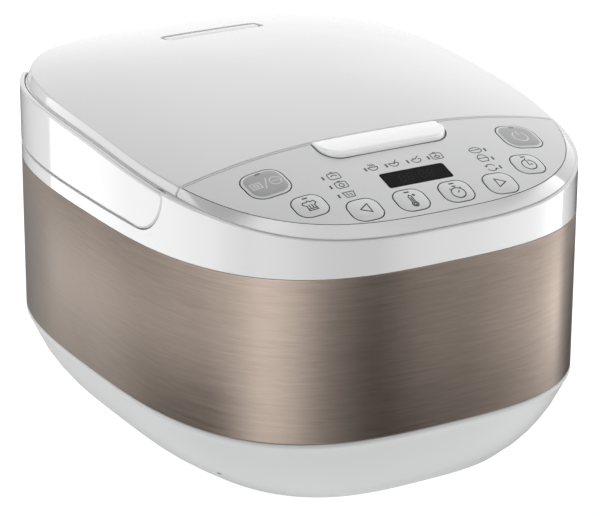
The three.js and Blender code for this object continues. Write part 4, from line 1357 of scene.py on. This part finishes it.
half_girth = GIRTH / 2
us = np.linspace(-half_girth, half_girth, 700)
low_edge = [(u, HOUSING_LOW) for u in us]
high_edge = list(zip(us, housing_top(us)))[::-1]
housing_loop = np.array(low_edge + high_edge)


def at_ring_end(q):
    return np.abs(np.abs(q[:, 0]) - half_girth) < 1e-4


HOUSING_LIP = 0.5
end_top = float(housing_top(np.array([half_girth]))[0])
end_steps = HOUSING_LIP * np.array([0.134, 0.5, 1.0, HOLD])
end_heights = np.concatenate([HOUSING_LOW + end_steps, end_top - end_steps])
end_points = [np.column_stack([np.full(len(end_heights), u), end_heights]) for u in (-half_girth, half_girth)]
housing_skin = patch("housing_skin", WALL, [housing_loop], [WHITE, WHITE], spacing=(4, 3), lip=HOUSING_LIP,
                     thickness=6.5, depth=recess_depth, creases=[recess_loop(0.5), recess_loop(0.7)],
                     open_at=at_ring_end, plain_rim=True, rim_points=end_points)
add(housing_skin, "cooker", "white_plastic", "upper_housing")


POT_HOLE = 110                    # radius of the deck's hole for the pot
DECK_INSET = 6.3


def deck_piece():
    """The deck round the pot, from the round hole for the pot out to the housing's wall."""
    steps = 240
    angles = np.linspace(0, 2 * math.pi, steps, endpoint=False)
    hole = np.column_stack([POT_HOLE * np.cos(angles), POT_Y + POT_HOLE * np.sin(angles)])
    rim = outline(DECK_INSET, angles)
    rim[:, 1] = np.clip(rim[:, 1], PARTING_Y - 3, HINGE_Y - 21.5)
    rings = []
    for share, z in ((0, 179.3), (0, 181.6), (0.02, 182.0), (0.98, 182.0), (1, 181.6), (1, 179.3)):
        ring = hole * (1 - share) + rim * share
        rings.append(np.column_stack([ring, np.full(steps, z)]))
    return build_mesh("deck", np.vstack(rings), join_rings(len(rings), steps, closed=True), [WHITE])


def applied(obj):
    """An object's mesh with its modifiers applied."""
    bpy.context.view_layer.update()
    return bpy.data.meshes.new_from_object(obj.evaluated_get(bpy.context.evaluated_depsgraph_get()))


def refine(node, bevel):
    """A copy of a CAD node with eased edges and smooth shading, in its place."""
    mesh = frame["nodes"][node].data.copy()
    mesh.name = "fine_" + node
    work = bmesh.new()
    work.from_mesh(mesh)
    bmesh.ops.remove_doubles(work, verts=work.verts, dist=1e-6)
    bmesh.ops.dissolve_limit(work, angle_limit=math.radians(1.0), verts=work.verts, edges=work.edges)
    work.to_mesh(mesh)
    work.free()
    obj = bpy.data.objects.new(mesh.name, mesh)
    bpy.context.collection.objects.link(obj)
    if bevel > 0:
        ease = obj.modifiers.new("ease", "BEVEL")
        ease.width = bevel / 1000
        ease.segments = 2
        ease.limit_method = "ANGLE"
        ease.angle_limit = SHARP
        eased = applied(obj)
        obj.modifiers.clear()
        obj.data = eased
        eased.name = mesh.name
    obj.data.materials.clear()
    obj.data.materials.append(SLOTS[NODE_SLOT[node]])
    obj.data.polygons.foreach_set("material_index", [0] * len(obj.data.polygons))
    obj.data.shade_smooth()
    obj.data.set_sharp_from_angle(angle=SHARP)
    return add(obj, NODE_BODY[node], NODE_SLOT[node], node)


# ------------------------------------------------------------------ band and base

band = ring_loft("band_ring", [
    (0.45, BAND_LOW, 1), (0.12, BAND_LOW + 0.12, 1), (0, BAND_LOW + 0.45, 1),
    (0, (BAND_LOW + BAND_HIGH) / 2, 1), (0, BAND_HIGH - 0.45, 1), (0.12, BAND_HIGH - 0.12, 1),
    (0.45, BAND_HIGH, 1), (1.2, BAND_HIGH, 1), (1.2, BAND_LOW, 1),
], [BAND], 360)
add(band, "cooker", "champagne_band", "outer_shell")

FRONT_INSET = 0.79                # the base tapers less towards the front
OUTSIDE_BOTTOM = 4
INSIDE_BOTTOM = 6.5
BASE_OUTSIDE = [                  # (inset, height) from the flat bottom up to the lip under the band
    (35.3, 4.2), (34.4, 4.8), (29, 8.4), (24, 12), (18, 18), (13, 24.5), (8.4, 31.8), (5, 39),
    (2.7, 44.2), (1.35, 47.6), (0.5, 48.9), (0.1, 49.7), (0, 50.3), (0.1, 50.9), (0.35, 51.5),
    (0.8, 52.1), (1.3, 52.4), (2.5, 52.5),
]
BASE_INSIDE = [(3.4, 48), (7.5, 39), (15.5, 24.5), (26, 14), (36, 7)]
base_profile = [(FULL_INSET, OUTSIDE_BOTTOM, scale) for scale in (0.35, 0.7, 0.985)]
base_profile += [(inset, height, 1) for inset, height in BASE_OUTSIDE + BASE_INSIDE]
base_profile += [(FULL_INSET, INSIDE_BOTTOM, scale) for scale in (0.7, 0.35)]
base = ring_loft("base_shell", base_profile, [WHITE_BASE], 360, front_inset=FRONT_INSET)


INLET_OPENING = (-22.3, 22.3, 142, 200, 16.7, 44.3)


def block(x0, x1, y0, y1, z0, z1):
    points = [(x, y, z) for x in (x0, x1) for y in (y0, y1) for z in (z0, z1)]
    faces = [[0, 1, 3, 2], [4, 6, 7, 5], [0, 4, 5, 1], [2, 3, 7, 6], [0, 2, 6, 4], [1, 5, 7, 3]]
    return points, faces


def carve(obj, points, faces):
    """Cuts a closed shape, given as points and faces, out of a piece."""
    tool = build_mesh("cutter", points, faces, [SHADE])
    work = bmesh.new()
    work.from_mesh(tool.data)
    bmesh.ops.recalc_face_normals(work, faces=work.faces)
    work.to_mesh(tool.data)
    work.free()
    carving = obj.modifiers.new("carve", "BOOLEAN")
    carving.operation = "DIFFERENCE"
    carving.solver = "EXACT"
    carving.object = tool
    result = applied(obj)
    obj.modifiers.clear()
    obj.data = result
    bpy.data.objects.remove(tool)
    obj.data.shade_smooth()
    obj.data.set_sharp_from_angle(angle=SHARP)


carve(base, *block(*INLET_OPENING))
add(base, "cooker", "white_plastic", "base_housing")
floor_profile = [(FULL_INSET, height, 0.36) for height in (OUTSIDE_BOTTOM, INSIDE_BOTTOM)]
floor_plate = ring_loft("base_floor", floor_profile, [WHITE_BASE], 96, closed=False, front_inset=FRONT_INSET)
add(floor_plate, "cooker", "white_plastic", "base_housing")

FOOT_PROFILE = rounded_profile([(0, 0), (9.6, 0), (11, 1.3), (11, 3.7), (0, 3.7)], 0.7)
SCREW_SUNK = 17.2                 # height of the screw heads' lower faces, raised into the base's wall
for corner in ("front_left", "front_right", "rear_left", "rear_right"):
    node = "foot_" + corner
    foot = turned("pad_" + corner, FOOT_PROFILE, [RUBBER], middle(node)[:2], 64)
    add(foot, "cooker", "rubber", node)
    screw = refine("base_screw_" + corner, 0.2)
    for vertex in screw.data.vertices:
        vertex.co.z = max(vertex.co.z, SCREW_SUNK / 1000)

refine("power_inlet", 0.6)
for node in ("inlet_pin_left", "inlet_pin_middle", "inlet_pin_right"):
    refine(node, 0.35)


# ------------------------------------------------------------------ inside

add(deck_piece(), "cooker", "white_plastic", "upper_housing")

# Bodies of revolution about the pot's axis: name, corners as (radius, height), size and steps of
# their rounding, finish, steps round the axis, body, slot and the CAD node each stands for.
ROUND_PIECES = [
    ("cooking_pot", [
        (0, 50), (92, 50), (102.5, 54.5), (108, 65), (108, 182.3), (113.7, 182.3), (114.5, 183.3),
        (113.7, 184.3), (105.8, 184.3), (105.8, 66), (100.8, 56.5), (91, 52.2), (0, 52.2),
    ], 3.2, 6, COATING, 180, "cooker", "pot_coating", "inner_pot"),
    ("chamber_liner", [
        (99, 30), (116, 30), (116, 178.7), (114.6, 178.7), (114.6, 31.5), (99, 31.5),
    ], 0.9, 4, ALUMINIUM, 144, "cooker", "aluminium", "inner_liner"),
    ("hot_plate", [
        (20, 41), (90, 41), (90, 31.8), (110, 31.8), (110, 34), (96, 34), (96, 47.2), (92, 49.7), (20, 49.7),
    ], 0.8, 4, ALUMINIUM, 144, "cooker", "aluminium", "heating_plate"),
    ("sensor_cap", [
        (0, 33), (6, 33), (6, 42), (16, 42), (17.5, 43.5), (17.5, 48.4), (16.4, 49.7), (0, 49.7),
    ], 0.5, 4, ALUMINIUM, 72, "sensor", "aluminium", "thermostat_sensor"),
    ("lid_plate", [
        (0, 188.5), (113.1, 188.5), (113.5, 189.0), (113.5, 190.0), (0, 190.0),
    ], 0.4, 4, ALUMINIUM, 144, "lid", "aluminium", "inner_lid_plate"),
    ("lid_seal", [
        (105.5, 184.6), (111, 184.6), (113, 186.6), (113, 188.2), (107, 188.2), (107, 186.4),
    ], 0.7, 4, SILICONE, 144, "lid", "silicone", "lid_gasket"),
]
VALVE_HOLE = 10.0                 # radius of the steam valve's hole in the lid plate


def hole_cutter():
    """An upright cylinder through the lid plate at the steam valve."""
    steps = 40
    angles = np.linspace(0, 2 * math.pi, steps, endpoint=False)
    ring = [(VALVE_HOLE * math.cos(a), VENT_Y + VALVE_HOLE * math.sin(a)) for a in angles]
    points = [(x, y, z) for z in (180, 195) for x, y in ring]
    return points, join_rings(2, steps, capped=True)


for name, corners, rounding, arc_steps, finish, steps, body, slot, node in ROUND_PIECES:
    piece = turned(name, rounded_profile(corners, rounding, arc_steps), [finish], (0, POT_Y), steps)
    if name == "lid_plate":
        carve(piece, *hole_cutter())
    add(piece, body, slot, node)

EASED = {                         # the rest of the CAD nodes, and how far their edges are eased
    "side_heater": 0, "thermostat_spring": 0, "thermostat_bracket": 0.3, "thermal_fuse": 0.6,
    "power_board": 0.2, "display_module": 0.3, "control_board": 0.2, "release_spring_left": 0,
    "release_spring_right": 0, "latch_pin": 0.3, "hinge_pin": 0.4, "hinge_spring_left": 0,
    "hinge_spring_right": 0, "handle_pivot_left": 0.4, "handle_pivot_right": 0.4, "lid_striker": 0.25,
    "lid_liner": 0.5, "steam_valve_body": 0.5, "steam_valve_cap": 0.5, "lid_thermistor": 0.4,
    "latch_hook": 0.4,
}
for node, bevel in EASED.items():
    refine(node, bevel)


# ------------------------------------------------------------------ floor, light and camera

FLOOR_HALF = 30                   # metres

floor_mesh = bpy.data.meshes.new("floor")
floor_corners = [(x * FLOOR_HALF, y * FLOOR_HALF, 0) for x, y in ((-1, -1), (1, -1), (1, 1), (-1, 1))]
floor_mesh.from_pydata(floor_corners, [], [(0, 1, 2, 3)])
floor = bpy.data.objects.new("floor", floor_mesh)
bpy.context.collection.objects.link(floor)
floor_material, _, _, floor_shader = new_material("floor_white")
set_inputs(floor_shader, {
    "Base Color": (0.4, 0.4, 0.4, 1), "Roughness": 0.9,
    "Emission Color": (1, 1, 1, 1), "Emission Strength": 0.8,
})
floor_mesh.materials.append(floor_material)
floor.visible_glossy = False

scene = bpy.context.scene
scene.view_settings.view_transform = "Standard"
world = bpy.data.worlds.new("studio")
world.use_nodes = True
set_inputs(world.node_tree.nodes["Background"], {"Color": (1, 1, 1, 1), "Strength": 0.36})
scene.world = world

TALL = [                          # degrees from +X towards +Y, and brightness of the wall there
    (0, 0.8), (15, 0.3), (30, 0.0), (56, 0.0), (70, 0.15), (90, 0.35), (108, 0.62), (116, 0.4), (126, 0.0),
    (168, 0.0), (182, 0.5), (192, 1.0), (203, 1.5), (213, 1.58), (223, 1.4), (234, 1.18), (245, 0.78),
    (255, 0.5), (266, 0.33), (279, 0.15), (296, 0.0), (304, 0.05), (313, 0.18), (329, 0.34), (343, 0.6),
    (360, 0.85),
]
STRIP = [                         # the same for the narrow bright strips, which end sharply
    (0, 0), (110.9, 0), (111.1, 1.4), (125, 1.5), (150, 2.0), (172, 2.0), (200, 0), (285, 0), (298, 0.9),
    (310, 1.4), (332, 1.6), (359.9, 2.5), (360, 0),
]
BACKDROP = [(0, 0.4), (30, 1.0), (68, 1.0), (76, 0.85), (95, 0.5), (110, 0.3), (360, 0.3)]
FRONT_FILL = 1.7                  # brightness high up in front, for the skirt of the panel
WALL_RADIUS = 4.0                 # metres


def stops(table, angles):
    return np.interp(angles, *zip(*table))


def wall_light(turn, rise):
    """Brightness of the studio wall at a direction in degrees round and above level."""
    behind = (turn < 90) * smoothstep((rise + 14) / 7)
    ground = stops(TALL, turn) * (1 - behind) + stops(BACKDROP, turn) * behind
    low_strip = smoothstep((rise + 23) / 2) * smoothstep((-11 - rise) / 2)
    above = smoothstep((rise - 1) / 4) * smoothstep((36 - rise) / 8)
    overhead = smoothstep((rise - 26) / 10) * smoothstep(1.6 - np.abs(turn - 255) / 50)
    return ground + stops(STRIP, turn) * (low_strip + 0.95 * above) + FRONT_FILL * overhead


def studio_wall():
    """A round wall, seen only in reflections, with broad panels and narrow strips of light on it."""
    turns = np.array(sorted([*range(0, 360, 3), 110.9, 111.1, 359.9]))
    rises = np.array([*range(-56, -28, 4), *range(-28, -10), *range(-10, 40, 2), *range(40, 73, 4)])
    around = np.radians(turns)
    points = []
    for rise in rises:
        height = math.tan(math.radians(rise))
        ring = np.column_stack([np.cos(around), np.sin(around), np.full(len(turns), height)])
        points += (WALL_RADIUS * ring).tolist()
    mesh = bpy.data.meshes.new("studio_wall")
    mesh.from_pydata(points, [], join_rings(len(rises), len(turns)))
    light = mesh.attributes.new("light", "FLOAT", "POINT")
    levels = np.concatenate([wall_light(turns, rise) for rise in rises])
    light.data.foreach_set("value", levels.astype(np.float32))
    wall = bpy.data.objects.new("studio_wall", mesh)
    bpy.context.collection.objects.link(wall)
    material, nodes, links, shader = new_material("studio_wall")
    set_inputs(shader, {"Base Color": (0, 0, 0, 1), "Emission Color": (1, 1, 1, 1)})
    attribute = nodes.new("ShaderNodeAttribute")
    attribute.attribute_name = "light"
    links.new(attribute.outputs["Fac"], shader.inputs["Emission Strength"])
    mesh.materials.append(material)
    wall.visible_camera = False
    wall.visible_diffuse = False
    wall.visible_shadow = False
    wall.visible_transmission = False


studio_wall()


def soft_light(name, place, target, size, power):
    """A rectangular lamp that reflections don't show."""
    lamp = bpy.data.lights.new(name, "AREA")
    lamp.shape = "RECTANGLE"
    lamp.size, lamp.size_y = size
    lamp.energy = power
    obj = bpy.data.objects.new(name, lamp)
    obj.location = place
    obj.rotation_euler = (Vector(target) - Vector(place)).to_track_quat("-Z", "Y").to_euler()
    obj.visible_glossy = False
    bpy.context.collection.objects.link(obj)


soft_light("overhead", (0.7, 0.7, 1.3), (0, 0, 0.15), (1.0, 1.0), 12)
soft_light("left_panel", (-1.0, 1.1, 0.35), (0, 0, 0.12), (0.7, 0.9), 8)
soft_light("right_panel", (1.4, -0.55, 0.3), (0, 0, 0.12), (0.6, 0.8), 5)

AZIMUTH, ELEVATION, ROLL = math.radians(-30.74), math.radians(20.43), math.radians(0.28)
TARGET = Vector((0.01339, 0.01196, 0.09032))
CAMERA_DISTANCE = 1.78173
backward = Vector((math.sin(AZIMUTH) * math.cos(ELEVATION), -math.cos(AZIMUTH) * math.cos(ELEVATION),
                   math.sin(ELEVATION)))
level = Vector((math.cos(AZIMUTH), math.sin(AZIMUTH), 0))
up = backward.cross(level)
right = level * math.cos(ROLL) + up * math.sin(ROLL)
top = up * math.cos(ROLL) - level * math.sin(ROLL)
camera_data = bpy.data.cameras.new("camera")
camera_data.sensor_width = 36
camera_data.lens = 169.92
camera_data.clip_end = 100
camera = bpy.data.objects.new("camera", camera_data)
camera.rotation_euler = Matrix((right, top, backward)).transposed().to_euler()
camera.location = TARGET + backward * CAMERA_DISTANCE
bpy.context.collection.objects.link(camera)
scene.camera = camera
